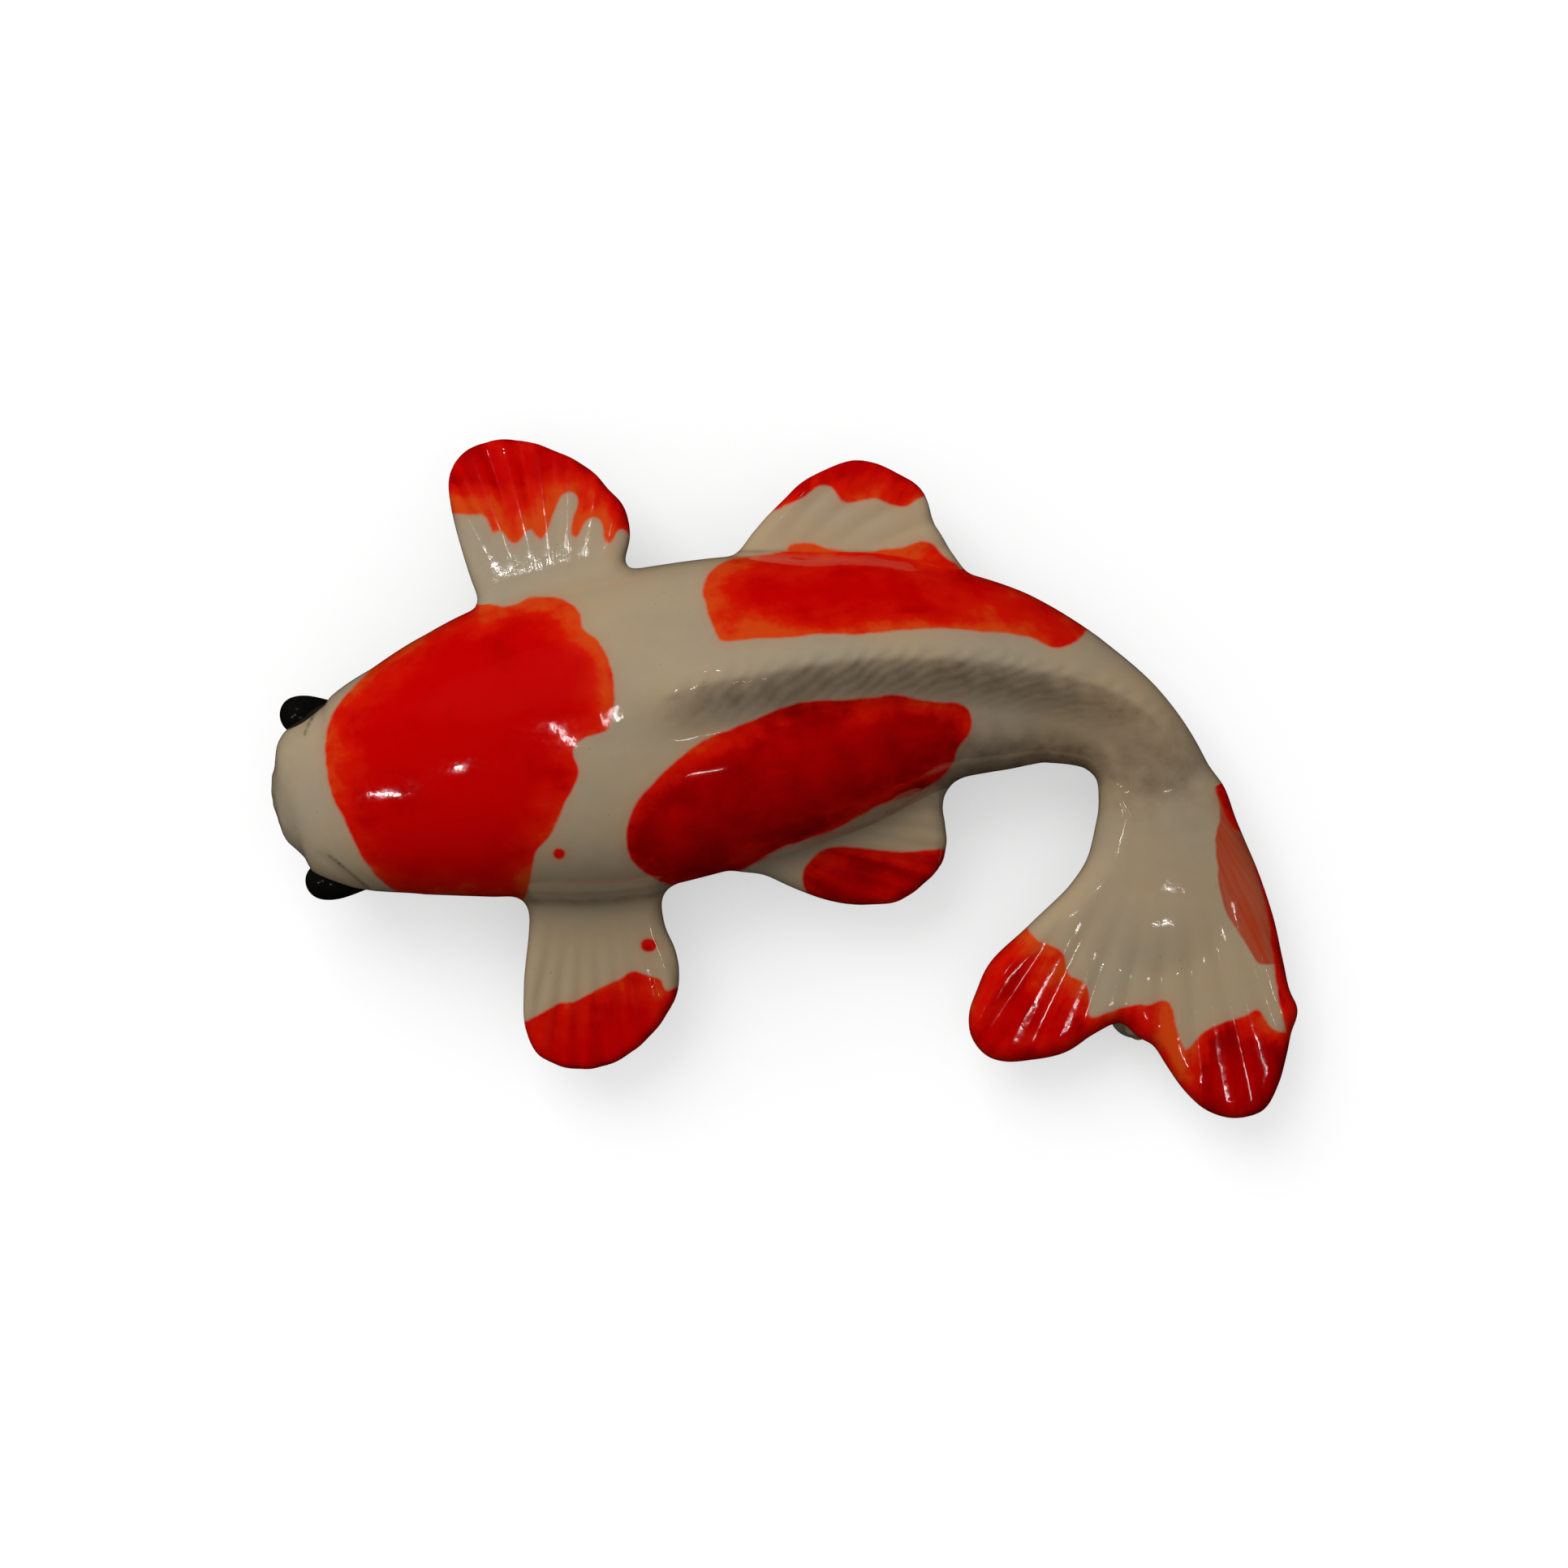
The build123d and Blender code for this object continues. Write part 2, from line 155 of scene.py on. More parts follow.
VIEW_CENTRE = from_photo([(PHOTO_PIXELS / 2, PHOTO_PIXELS / 2)])[0]


def as_seen(x, y, z):
    """Where the photograph shows a place that is higher or lower than the outline."""
    nearer = CAMERA_HEIGHT / (CAMERA_HEIGHT + OUTLINE_HEIGHT - z)
    u, v = VIEW_CENTRE
    return u + (x - u) * nearer, v + (y - v) * nearer


# ---- curves

def smoothstep(low, high, value):
    t = np.clip((value - low) / (high - low), 0.0, 1.0)
    return t * t * (3.0 - 2.0 * t)


def fade(distance, reach):
    """1 up to a line, falling to 0 at a reach past it."""
    return smoothstep(1.0, 0.0, np.maximum(distance, 0) / reach)


def bell(distance, width):
    """1 on a line, falling off softly on both sides of it."""
    return np.exp(-(distance / width) ** 2)


def along(stops, rows, at):
    """Smooth curve through rows of numbers, at places between their stops."""
    stops, rows, at = np.asarray(stops, float), np.asarray(rows, float), np.asarray(at, float)
    slopes = np.gradient(rows, stops, axis=0)
    i = np.clip(np.searchsorted(stops, at, side="right") - 1, 0, len(stops) - 2)
    step = (stops[i + 1] - stops[i])[..., None]
    u = np.clip((at - stops[i])[..., None] / step, 0.0, 1.0)
    ends = (2 * u**3 - 3 * u**2 + 1) * rows[i] + (3 * u**2 - 2 * u**3) * rows[i + 1]
    return ends + step * ((u**3 - 2 * u**2 + u) * slopes[i] + (u**3 - u**2) * slopes[i + 1])


def lengths(points):
    """Length along a chain of points up to each of them."""
    steps = np.linalg.norm(np.diff(points, axis=0), axis=1)
    return np.concatenate([[0.0], np.cumsum(steps)])


def open_curve(points, spacing=0.5):
    stops = lengths(points)
    return along(stops, points, np.linspace(0, stops[-1], int(stops[-1] / spacing) + 2))


def closed_curve(points, spacing=0.6, evening=2):
    """Smooth closed curve through points, without its last point. Evening takes out wobbles."""
    p = np.asarray(points, float)
    wrapped = np.concatenate([p[-3:], p, p[:4]])
    stops = lengths(wrapped)
    count = int((stops[len(p) + 3] - stops[3]) / spacing) + 2
    curve = along(stops, wrapped, np.linspace(stops[3], stops[len(p) + 3], count)[:-1])
    for _ in range(evening):
        curve = (np.roll(curve, 1, axis=0) + 2 * curve + np.roll(curve, -1, axis=0)) / 4
    return curve


# ---- maps seen from above

CELL = 0.5
MARGIN = 2.0
low_corner, high_corner = np.array(CAD_BOX) / MM
xs = np.arange(low_corner[0] - MARGIN, high_corner[0] + MARGIN, CELL)
ys = np.arange(low_corner[1] - MARGIN, high_corner[1] + MARGIN, CELL)
zs = np.arange(-2.25, high_corner[2] + MARGIN, CELL)
GRID_LOW = np.array([xs[0], ys[0], zs[0]])
plan_x, plan_y = np.meshgrid(xs, ys, indexing="ij")


def nearest_on(chain, closed):
    """For every place of the map: distance to a chain of points, stop along it, and side."""
    ends = np.roll(chain, -1, axis=0) if closed else chain[1:]
    starts = chain if closed else chain[:-1]
    stops = np.concatenate([[0.0], np.cumsum(np.linalg.norm(ends - starts, axis=1))])
    best = np.full(plan_x.shape, 1e9)
    stop = np.zeros(plan_x.shape)
    side = np.zeros(plan_x.shape)
    for a, b, s in zip(starts, ends, stops):
        run = b - a
        size = math.hypot(*run) + 1e-12
        dx, dy = plan_x - a[0], plan_y - a[1]
        t = np.clip((dx * run[0] + dy * run[1]) / size**2, 0.0, 1.0)
        away = (dx - t * run[0]) ** 2 + (dy - t * run[1]) ** 2
        nearer = away < best
        best = np.where(nearer, away, best)
        stop = np.where(nearer, s + t * size, stop)
        side = np.where(nearer, run[0] * dy - run[1] * dx, side)
    return np.sqrt(best), stop, np.sign(side)


def inside_of(outline):
    """Map of the distance inside a closed outline in millimetres; negative outside."""
    distance, _, _ = nearest_on(outline, True)
    inside = np.zeros(plan_x.shape, bool)
    for (x0, y0), (x1, y1) in zip(outline, np.roll(outline, -1, axis=0)):
        if y0 != y1:
            crosses = (y0 > plan_y) != (y1 > plan_y)
            inside ^= crosses & (plan_x < x0 + (plan_y - y0) * (x1 - x0) / (y1 - y0))
    return np.where(inside, distance, -distance)


def patch_map(pixels):
    return inside_of(closed_curve(from_photo(pixels)))


def line_map(pixels):
    """Distance to a line drawn in the photograph."""
    return nearest_on(open_curve(from_photo(pixels)), False)[0]


def read_map(values, x, y):
    """A map's values at any places, blended between its cells."""
    i = np.clip((x - xs[0]) / CELL, 0, len(xs) - 1.001)
    j = np.clip((y - ys[0]) / CELL, 0, len(ys) - 1.001)
    i0, j0 = i.astype(int), j.astype(int)
    u, v = i - i0, j - j0
    near = values[i0, j0] * (1 - v) + values[i0, j0 + 1] * v
    far = values[i0 + 1, j0] * (1 - v) + values[i0 + 1, j0 + 1] * v
    return near * (1 - u) + far * u


# ---- the form

def body_rows():
    rows = [(*SNOUT, 0.0, 0.0, BODY_HEIGHT * BODY_SHARES[0][4])]
    for run, bend, half_width, half_height, height in BODY_SHARES:
        x, y = SNOUT[0] + BODY_RUN * run, SNOUT[1] + BODY_BEND * bend
        up = (BODY_HEIGHT * half_height, BODY_HEIGHT * height)
        rows.append((x, y, BODY_WIDTH * half_width, *up))
    return np.array(rows + STALK_ROWS)


ROWS = body_rows()
ROW_STOPS = lengths(ROWS[:, :2])
# Half width and half height are kept squared: they grow evenly from the round snout that way.
SQUARED = np.column_stack([ROWS[:, :2], ROWS[:, 2:4] ** 2, ROWS[:, 4]])
SPINE_STOPS = np.linspace(0, ROW_STOPS[-1], 500)
SPINE = along(ROW_STOPS, SQUARED, SPINE_STOPS)
spine_away, spine_stop, spine_side = nearest_on(SPINE[:, :2], False)
SPINE_RUN = lengths(SPINE[:, :2])
half_width_map = np.sqrt(np.maximum(np.interp(spine_stop, SPINE_RUN, SPINE[:, 2]), 0.02))
half_height_map = np.sqrt(np.maximum(np.interp(spine_stop, SPINE_RUN, SPINE[:, 3]), 0.02))
middle_map = np.interp(spine_stop, SPINE_RUN, SPINE[:, 4])

# Crest of the dorsal ridge: x, y, height over the back.
CREST = np.array([
    (-27.0, 11.4, 0.0), (-22.5, 11.9, 0.5), (-17.4, 12.5, 1.6), (-11.6, 14.0, 2.7),
    (-4.7, 15.3, 3.4), (6.1, 17.2, 3.7), (18.1, 17.9, 3.7), (29.2, 17.4, 3.6), (35.3, 16.4, 3.4),
    (42.4, 15.0, 3.0), (48.7, 12.8, 2.5), (52.4, 10.7, 2.2), (55.4, 8.1, 1.9), (58.6, 4.4, 1.2),
    (60.6, 0.3, 0.5), (61.4, -4.0, 0.0),
])
CREST_REACH_RIGHT = 10.5
CREST_REACH_LEFT = 7.6
# Heights of the crest between which its scallops and the valley beside it come in.
CREST_DETAIL = (0.5, 2.5)
SCALLOP_HEIGHT, SCALLOP_WIDTH = 0.09, 1.6
VALLEY_DEPTH, VALLEY_PLACE, VALLEY_WIDTH = 0.35, 8.6, 2.4
# The slanting rays: their spacing and depth, and along the crest their slant and strength.
RAY_SPACING = 3.25
RAY_DEPTH = 0.12
RAY_SLANT = ([0, 30, 70, 95], [1.5, 1.7, 2.6, 3.0])
RAY_SLANT_RIGHT = 0.6
RAY_STRENGTH = ([0, 22, 40, 95], [0.3, 0.5, 1.0, 0.9])
crest_stops = lengths(CREST[:, :2])
crest_line = along(crest_stops, CREST, np.linspace(0, crest_stops[-1], 200))
crest_away, crest_stop, crest_side = nearest_on(crest_line[:, :2], False)
crest_height = np.interp(crest_stop, lengths(crest_line[:, :2]), crest_line[:, 2])
crest_across = crest_away * crest_side


def crest_maps():
    """Lift of the back at the ridge, and the grooves between its slanting rays."""
    down = -crest_across
    right = fade(crest_across, CREST_REACH_RIGHT) ** 1.5
    left = fade(down, CREST_REACH_LEFT)
    slanted = np.interp(crest_stop, *RAY_SLANT) * np.maximum(down, 0)
    slanted -= RAY_SLANT_RIGHT * np.maximum(crest_across, 0)
    # Hand-tooled rays aren't quite evenly spaced.
    uneven = 0.22 * np.sin(crest_stop * 0.31)
    uneven += 0.12 * np.sin(crest_stop * 0.83 + crest_across * 0.4)
    wave = 0.5 - 0.5 * np.cos(2 * math.pi * ((crest_stop + slanted) / RAY_SPACING + uneven))
    rays = smoothstep(-2.0, 1.0, down) * smoothstep(8.5, 3.5, down)
    rays *= smoothstep(0.3, 2.6, crest_height) * np.interp(crest_stop, *RAY_STRENGTH)
    groove = RAY_DEPTH * rays * (1 - wave**0.6)
    detail = smoothstep(*CREST_DETAIL, crest_height)
    scallop = SCALLOP_HEIGHT * (wave - 0.5) * bell(crest_across, SCALLOP_WIDTH) * detail
    valley = VALLEY_DEPTH * bell(down - VALLEY_PLACE, VALLEY_WIDTH) * detail
    return crest_height * right * left + scallop - valley, groove


lift_map, crest_groove = crest_maps()


class Fin:
    """A clay pad seen from above, with its level, slope, thickness and fan of rays."""

    def __init__(self, outline, root, out, level, drop, thick, tip_thick, reach, blend, fan, depth):
        self.inside = inside_of(closed_curve(from_photo(outline)))
        self.blend = blend
        root, out = np.array(root, float), np.array(out, float)
        out /= np.linalg.norm(out)
        away = (plan_x - root[0]) * out[0] + (plan_y - root[1]) * out[1]
        self.middle = level - math.tan(math.radians(drop)) * away
        share = np.clip(away / reach, 0.0, 1.0)
        self.half = (thick + (tip_thick - thick) * share) / 2
        self.groove = self.fan_map(fan, depth)
        # Where along and across the brush strokes, which follow the rays.
        (cx, cy), full = fan[0], fan[5]
        self.spread = np.hypot(plan_x - cx, plan_y - cy)
        self.stroke = np.arctan2(plan_y - cy, plan_x - cx) * full

    def fan_map(self, fan, depth):
        """Grooves between rays that spread from a centre; they bend with the distance from it."""
        (cx, cy), first, last, count, start, full, bend = fan
        angle = np.arctan2(plan_y - cy, plan_x - cx)
        reach = np.hypot(plan_x - cx, plan_y - cy)
        a0, a1 = math.atan2(first[1] - cy, first[0] - cx), math.atan2(last[1] - cy, last[0] - cx)
        span = (a1 - a0 + math.pi) % (2 * math.pi) - math.pi
        turned = (angle - a0 - bend * (reach - full) + math.pi) % (2 * math.pi) - math.pi
        phase = turned / span * (count - 1)
        gap = abs(span) / (count - 1) * reach
        near = np.abs(phase - np.round(phase)) * gap
        within = smoothstep(-0.9, -0.4, phase) * smoothstep(count - 0.1, count - 0.6, phase)
        crown = 0.35 * (near / np.maximum(gap, 0.1) * 2) ** 2
        cut = np.exp(-(near / (0.17 * gap + 0.12)) ** 2) - crown
        return depth * cut * within * smoothstep(start, full, reach)


def mm(u, v):
    return tuple(from_photo([(u, v)])[0])


# Outline; middle of the root; direction outward; level; drop in degrees; thickness at the root and
# at the tip; reach; fillet; rays: their centre, the first and the last, how many, where the grooves
# start and where they are full, and their bend; depth of the grooves.
FINS = {
    "right_pectoral_fin": Fin(
        RIGHT_PECTORAL_OUTLINE, mm(683, 727), (-0.12, 1.0), 19.4, 16.0, 5.6, 2.6, 21.0, 2.6,
        (mm(705, 860), mm(566, 650), mm(775, 640), 8, 20.0, 32.0, 0.0), 0.24),
    "left_pectoral_fin": Fin(
        LEFT_PECTORAL_OUTLINE, mm(733, 1100), (0.0, -1.0), 14.6, 8.0, 5.6, 2.8, 24.0, 3.4,
        (mm(728, 940), mm(652, 1290), mm(836, 1210), 8, 22.0, 36.0, 0.0), 0.24),
    "right_pelvic_fin": Fin(
        RIGHT_PELVIC_OUTLINE, mm(1065, 692), (0.1, 1.0), 16.0, 8.0, 5.0, 2.6, 15.0, 2.4,
        (mm(900, 900), mm(985, 596), mm(1170, 650), 6, 26.0, 38.0, -0.012), 0.16),
    "left_pelvic_fin": Fin(
        LEFT_PELVIC_OUTLINE, mm(1010, 1030), (0.5, -1.0), 14.4, 10.0, 6.2, 3.0, 15.0, 3.0,
        (mm(820, 985), mm(1040, 1112), mm(1164, 1000), 8, 22.0, 32.0, 0.0), 0.15),
    "tail_fin": Fin(
        TAIL_OUTLINE, mm(1431, 988), (0.0, -1.0), 12.2, 3.0, 9.6, 4.2, 47.5, 3.2,
        (mm(1440, 930), mm(1225, 1180), mm(1585, 1190), 10, 17.0, 36.0, 0.0), 0.2),
}


def oval_radius(across, up):
    return (np.abs(across) ** BODY_POWER + np.abs(up) ** BODY_POWER) ** (1 / BODY_POWER)


def body_field():
    """About the distance to the body's surface on the whole grid; negative inside."""
    maps = (half_width_map, half_height_map, middle_map)
    a, b, c = (m[:, :, None].astype(np.float32) for m in maps)
    z = zs[None, None, :].astype(np.float32) - c
    z = z - lift_map[:, :, None].astype(np.float32) * smoothstep(0.0, 0.55, z / b)
    r = oval_radius(spine_away[:, :, None].astype(np.float32) / a, z / b)
    # Squared distances grow evenly also at the round snout, where the widths start from nothing.
    squares = a**2 * (r**2 - 1)
    size = np.sqrt(sum(g**2 for g in np.gradient(squares, CELL)))
    return squares / np.maximum(size, 0.8 * a)


def pad_field(fin):
    """Distance to a pad with a round rim."""
    half = fin.half[:, :, None]
    rim = half * 0.92
    outward = -fin.inside[:, :, None] + rim
    upward = np.abs(zs[None, None, :] - fin.middle[:, :, None]) - half + rim
    outer = np.hypot(np.maximum(outward, 0), np.maximum(upward, 0))
    return (np.minimum(np.maximum(outward, upward), 0) + outer - rim).astype(np.float32)


def join(first, second, blend):
    """Two forms run into one another over a soft fillet."""
    h = np.clip(0.5 + 0.5 * (second - first) / blend, 0, 1)
    return second + (first - second) * h - blend * h * (1 - h)


def top_of(middle, half):
    """1 on the upper side of a form, 0 on its underside."""
    return smoothstep(-0.25, 0.6, (zs[None, None, :] - middle[:, :, None]) / half[:, :, None])


field = body_field()
field += (crest_groove[:, :, None] * top_of(middle_map, half_height_map)).astype(np.float32)
body_alone = field.copy()
fin_fields = {}
for fin_name, one_fin in FINS.items():
    pad = pad_field(one_fin)
    pad += (one_fin.groove[:, :, None] * top_of(one_fin.middle, one_fin.half)).astype(np.float32)
    fin_fields[fin_name] = pad
    field = join(field, pad, one_fin.blend)

# Lines tooled in the head: a brow over each eye, and the closed mouth.
BROW_LINES = [
    [(402, 862), (387, 880), (375, 905)],
    [(403, 1052), (425, 1070), (449, 1090), (458, 1097)],
]
BROW_DEPTH, BROW_WIDTH = 0.16, 0.5
MOUTH_DEPTH, MOUTH_WIDTH, MOUTH_HEIGHT = 0.35, 0.5, 13.6
MOUTH_ENDS = (-69.0, -71.5)
brow_maps = [line_map(brow) for brow in BROW_LINES]
for brow_map in brow_maps:
    cut = BROW_DEPTH * bell(brow_map, BROW_WIDTH)
    field += (cut[:, :, None] * top_of(middle_map, half_height_map)).astype(np.float32)
mouth = bell(zs[None, None, :] - MOUTH_HEIGHT, MOUTH_WIDTH)
mouth = MOUTH_DEPTH * (mouth * smoothstep(*MOUTH_ENDS, plan_x)[:, :, None])
field += mouth.astype(np.float32)

# Flat foot, and the kiln vent in it. Below the height of the foot's rim, vertices aren't settled.
FOOT_RIM = 0.8
VENT = (-16.126, 8.566)
VENT_RADIUS = 2.5
VENT_DEPTH = 6.0
level = np.broadcast_to(zs[None, None, :], field.shape)
field = np.maximum(field, (-level).astype(np.float32))
vent_wall = np.hypot(plan_x - VENT[0], plan_y - VENT[1])[:, :, None] - VENT_RADIUS
field = np.maximum(field, -np.maximum(vent_wall, level - VENT_DEPTH)).astype(np.float32)


# ---- from the form to a mesh

def read_grid(values, places):
    """A grid's values at any places, blended between its eight neighbours."""
    spots = (places - GRID_LOW) / CELL
    spots = np.clip(spots, 0, np.array(field.shape) - 1.001)
    base = spots.astype(int)
    part = spots - base
    total = 0.0
    for corner in np.ndindex(2, 2, 2):
        i, j, k = (base + corner).T
        weight = np.prod(np.where(corner, part, 1 - part), axis=1)
        total = total + values[i, j, k] * weight
    return total


slopes = np.gradient(field, CELL)


def slope_at(places):
    return np.stack([read_grid(s, places) for s in slopes], 1)


def skin(values):
    """Closed mesh of the surface where a grid's values are zero, a vertex in each crossed cell."""
    inside = values < 0
    a, b, c = (n - 1 for n in inside.shape)
    count = np.zeros((a, b, c), np.int8)
    for i, j, k in np.ndindex(2, 2, 2):
        count += inside[i:a + i, j:b + j, k:c + k]
    cells = np.argwhere((count > 0) & (count < 8))
    place = np.zeros((len(cells), 3))
    crossings = np.zeros(len(cells))
    corners = list(np.ndindex(2, 2, 2))
    at = {c: values[tuple((cells + c).T)] for c in corners}
    for c in corners:
        for axis in range(3):
            if c[axis] == 0:
                d = tuple(1 if n == axis else c[n] for n in range(3))
                crossed = (at[c] < 0) != (at[d] < 0)
                t = np.where(crossed, at[c] / np.where(crossed, at[c] - at[d], 1), 0)
                spot = np.array(c) + t[:, None] * (np.array(d) - np.array(c))
                place += spot * crossed[:, None]
                crossings += crossed
    vertices = (cells + place / crossings[:, None]) * CELL + GRID_LOW
    number = np.full(count.shape, -1, np.int64)
    number[tuple(cells.T)] = np.arange(len(cells))
    quads = []
    for axis in range(3):
        one, two = (axis + 1) % 3, (axis + 2) % 3
        low = np.take(inside, np.arange(inside.shape[axis] - 1), axis)
        high = np.take(inside, np.arange(1, inside.shape[axis]), axis)
        edges = np.argwhere(low != high)
        leaving = low[tuple(edges.T)]
        ring = []
        for step_one, step_two in ((-1, -1), (0, -1), (0, 0), (-1, 0)):
            cell = edges.copy()
            cell[:, one] += step_one
            cell[:, two] += step_two
            ring.append(number[tuple(cell.T)])
        ring = np.stack(ring, 1)
        ring[~leaving] = ring[~leaving][:, ::-1]
        quads.append(ring)
    quads = np.concatenate(quads)
    # Each quad is cut along its shorter diagonal.
    a = np.linalg.norm(vertices[quads[:, 0]] - vertices[quads[:, 2]], axis=1)
    b = np.linalg.norm(vertices[quads[:, 1]] - vertices[quads[:, 3]], axis=1)
    turned = np.where((a <= b)[:, None], quads, np.roll(quads, -1, axis=1))
    return vertices, np.concatenate([turned[:, [0, 1, 2]], turned[:, [0, 2, 3]]])


def settle(vertices):
    """Moves vertices on to the surface, but for those near the foot, whose rim stays sharp."""
    moved = vertices.copy()
    for _ in range(2):
        slope = slope_at(moved)
        size = np.maximum(np.sum(slope**2, axis=1), 0.05)
        step = -read_grid(field, moved)[:, None] * slope / size[:, None]
        length = np.linalg.norm(step, axis=1, keepdims=True)
        moved += step * np.minimum(1.0, 0.3 * CELL / np.maximum(length, 1e-9))
    low = vertices[:, 2] < FOOT_RIM
    moved[low] = vertices[low]
    return moved


class Mesh:
    """Vertices, triangles, and for each triangle whether it closes a cut."""

    def __init__(self, vertices, triangles, closing=None):
        self.vertices = vertices
        self.triangles = triangles
        self.closing = np.zeros(len(triangles), bool) if closing is None else closing

    def tidied(self):
        used, triangles = np.unique(self.triangles, return_inverse=True)
        return Mesh(self.vertices[used], triangles.reshape(-1, 3), self.closing)

    def largest(self):
        """The largest connected part: crumbs that a cut leaves are dropped."""
        parent = np.arange(len(self.vertices))
        while True:
            low = parent[self.triangles].min(axis=1)
            new = parent.copy()
            for n in range(3):
                np.minimum.at(new, self.triangles[:, n], low)
            new = new[new]
            if np.array_equal(new, parent):
                break
            parent = new
        group = parent[self.triangles[:, 0]]
        names, sizes = np.unique(group, return_counts=True)
        keep = group == names[np.argmax(sizes)]
        return Mesh(self.vertices, self.triangles[keep], self.closing[keep]).tidied()


def loops_of(edges):
    """Closed chains of vertex numbers from directed edges."""
    ahead = {}
    for a, b in edges:
        ahead.setdefault(a, []).append(b)
    loops = []
    while ahead:
        start = next(iter(ahead))
        chain = [start]
        while True:
            here = chain[-1]
            following = ahead[here].pop()
            if not ahead[here]:
                del ahead[here]
            if following == start:
                break
            chain.append(following)
        loops.append(chain)
    return loops


def filling(points):
    """Triangles that fill a closed chain of points, or None if it crosses itself when flattened."""
    middle = points.mean(axis=0)
    _, _, frame_axes = np.linalg.svd(points - middle)
    flat = (points - middle) @ frame_axes[:2].T
    count = len(points)
    edges = [(i, (i + 1) % count) for i in range(count)]
    out, _, faces, origins, _, _ = delaunay_2d_cdt([Vector(p) for p in flat], edges, [], 1, 1e-6)
    if len(out) != count or any(len(o) != 1 for o in origins):
        return None
    faces = np.array([[origins[v][0] for v in f] for f in faces])
    if len(faces) != count - 2:
        return None
    return faces


def split(mesh, values):
    """Cuts a closed mesh where its vertices' values change sign: the low side and the high side."""
    values = np.where(np.abs(values) < 1e-6, 1e-6, values)
    tri = mesh.triangles
    low = values[tri] < 0
    lows = low.sum(axis=1)
    mixed = (lows == 1) | (lows == 2)
    crossed, closing = tri[mixed], mesh.closing[mixed]
    # The corner that is alone on its side comes first.
    lone_low = lows[mixed] == 1
    alone = np.where(lone_low[:, None], low[mixed], ~low[mixed]).argmax(axis=1)
    order = (alone[:, None] + np.arange(3)) % 3
    crossed = np.take_along_axis(crossed, order, 1)
    pairs = np.concatenate([crossed[:, [0, 1]], crossed[:, [0, 2]]])
    pairs.sort(axis=1)
    unique, back = np.unique(pairs, axis=0, return_inverse=True)
    back = back.reshape(-1)
    v0, v1 = values[unique[:, 0]], values[unique[:, 1]]
    t = np.clip(v0 / (v0 - v1), 0.06, 0.94)[:, None]
    new = mesh.vertices[unique[:, 0]] * (1 - t) + mesh.vertices[unique[:, 1]] * t
    first = len(mesh.vertices)
    vertices = np.concatenate([mesh.vertices, new])
    cut_one, cut_two = first + back[:len(crossed)], first + back[len(crossed):]
    tips = np.stack([crossed[:, 0], cut_one, cut_two], 1)
    rest = np.concatenate([
        np.stack([cut_one, crossed[:, 1], crossed[:, 2]], 1),
        np.stack([cut_one, crossed[:, 2], cut_two], 1),
    ])
    rest_low, rest_closing = np.tile(~lone_low, 2), np.tile(closing, 2)
    sides = []
    for is_low in (True, False):
        whole = lows == (3 if is_low else 0)
        tip_here = lone_low == is_low
        rest_here = rest_low == is_low
        triangles = np.concatenate([tri[whole], tips[tip_here], rest[rest_here]])
        flags = np.concatenate([mesh.closing[whole], closing[tip_here], rest_closing[rest_here]])
        rim = np.stack([cut_one, cut_two], 1)
        rim = np.where(lone_low[:, None] == is_low, rim, rim[:, ::-1])
        # The rim runs along the triangles on this side, so the filling runs against it.
        points, caps = vertices, []
        for loop in loops_of(rim[:, ::-1].tolist()):
            loop = np.array(loop)
            faces = filling(points[loop])
            if faces is None:
                points = np.concatenate([points, points[loop].mean(axis=0)[None]])
                ahead = np.roll(loop, -1)
                caps.append(np.stack([loop, ahead, np.full(len(loop), len(points) - 1)], 1))
            else:
                corners = loop[faces]
                # All faces turn the same way as the loop.
                steps = set(zip(loop.tolist(), np.roll(loop, -1).tolist()))
                edges = ((c[n], c[(n + 1) % 3]) for c in corners.tolist() for n in range(3))
                agrees = sum(edge in steps for edge in edges)
                caps.append(corners if agrees * 2 > len(loop) else corners[:, ::-1])
        cap = np.concatenate(caps)
        flags = np.concatenate([flags, np.ones(len(cap), bool)])
        sides.append(Mesh(points, np.concatenate([triangles, cap]), flags).tidied())
    return sides


fish_vertices, fish_triangles = skin(field)
fish = Mesh(settle(fish_vertices), fish_triangles).largest()

pieces = {}
rest_of_fish = fish
for fin_name in FINS:
    spots = rest_of_fish.vertices
    nearer = read_grid(fin_fields[fin_name], spots) - read_grid(body_alone, spots)
    piece, rest_of_fish = split(rest_of_fish, nearer)
    pieces[fin_name] = piece.largest()
    rest_of_fish = rest_of_fish.largest()

# The ridge's own piece is what stands out by more than its root.
RIDGE_ROOT = 0.45
ridge_map = crest_height * fade(crest_across, CREST_REACH_RIGHT * 0.8)
ridge_map = ridge_map * fade(-crest_across, CREST_REACH_LEFT) - RIDGE_ROOT
spots = rest_of_fish.vertices
on_ridge = read_map(ridge_map, spots[:, 0], spots[:, 1])
above = spots[:, 2] - read_map(middle_map, spots[:, 0], spots[:, 1])
pieces["dorsal_fin"], rest_of_fish = split(rest_of_fish, -np.minimum(on_ridge, above - 1.0))
pieces["dorsal_fin"] = pieces["dorsal_fin"].largest()
rest_of_fish = rest_of_fish.largest()
over_seam = rest_of_fish.vertices[:, 2] - SEAM_HEIGHT
pieces["belly_shell"], pieces["back_shell"] = split(rest_of_fish, over_seam)

# ---- eyes and the peg under the tail

EYE_RADIUS = 2.8
EYE_HEIGHT = 16.4
# Where along its length an eye is widest, and the share of the length in front of that.
EYE_WIDEST, EYE_FRONT = 0.70, 0.30
# Point behind, the direction to the round front, and the length.
EYES = {"right_eye": ((-66.0, 11.5), 19.0, 8.8), "left_eye": ((-61.0, -15.9), -9.0, 9.8)}


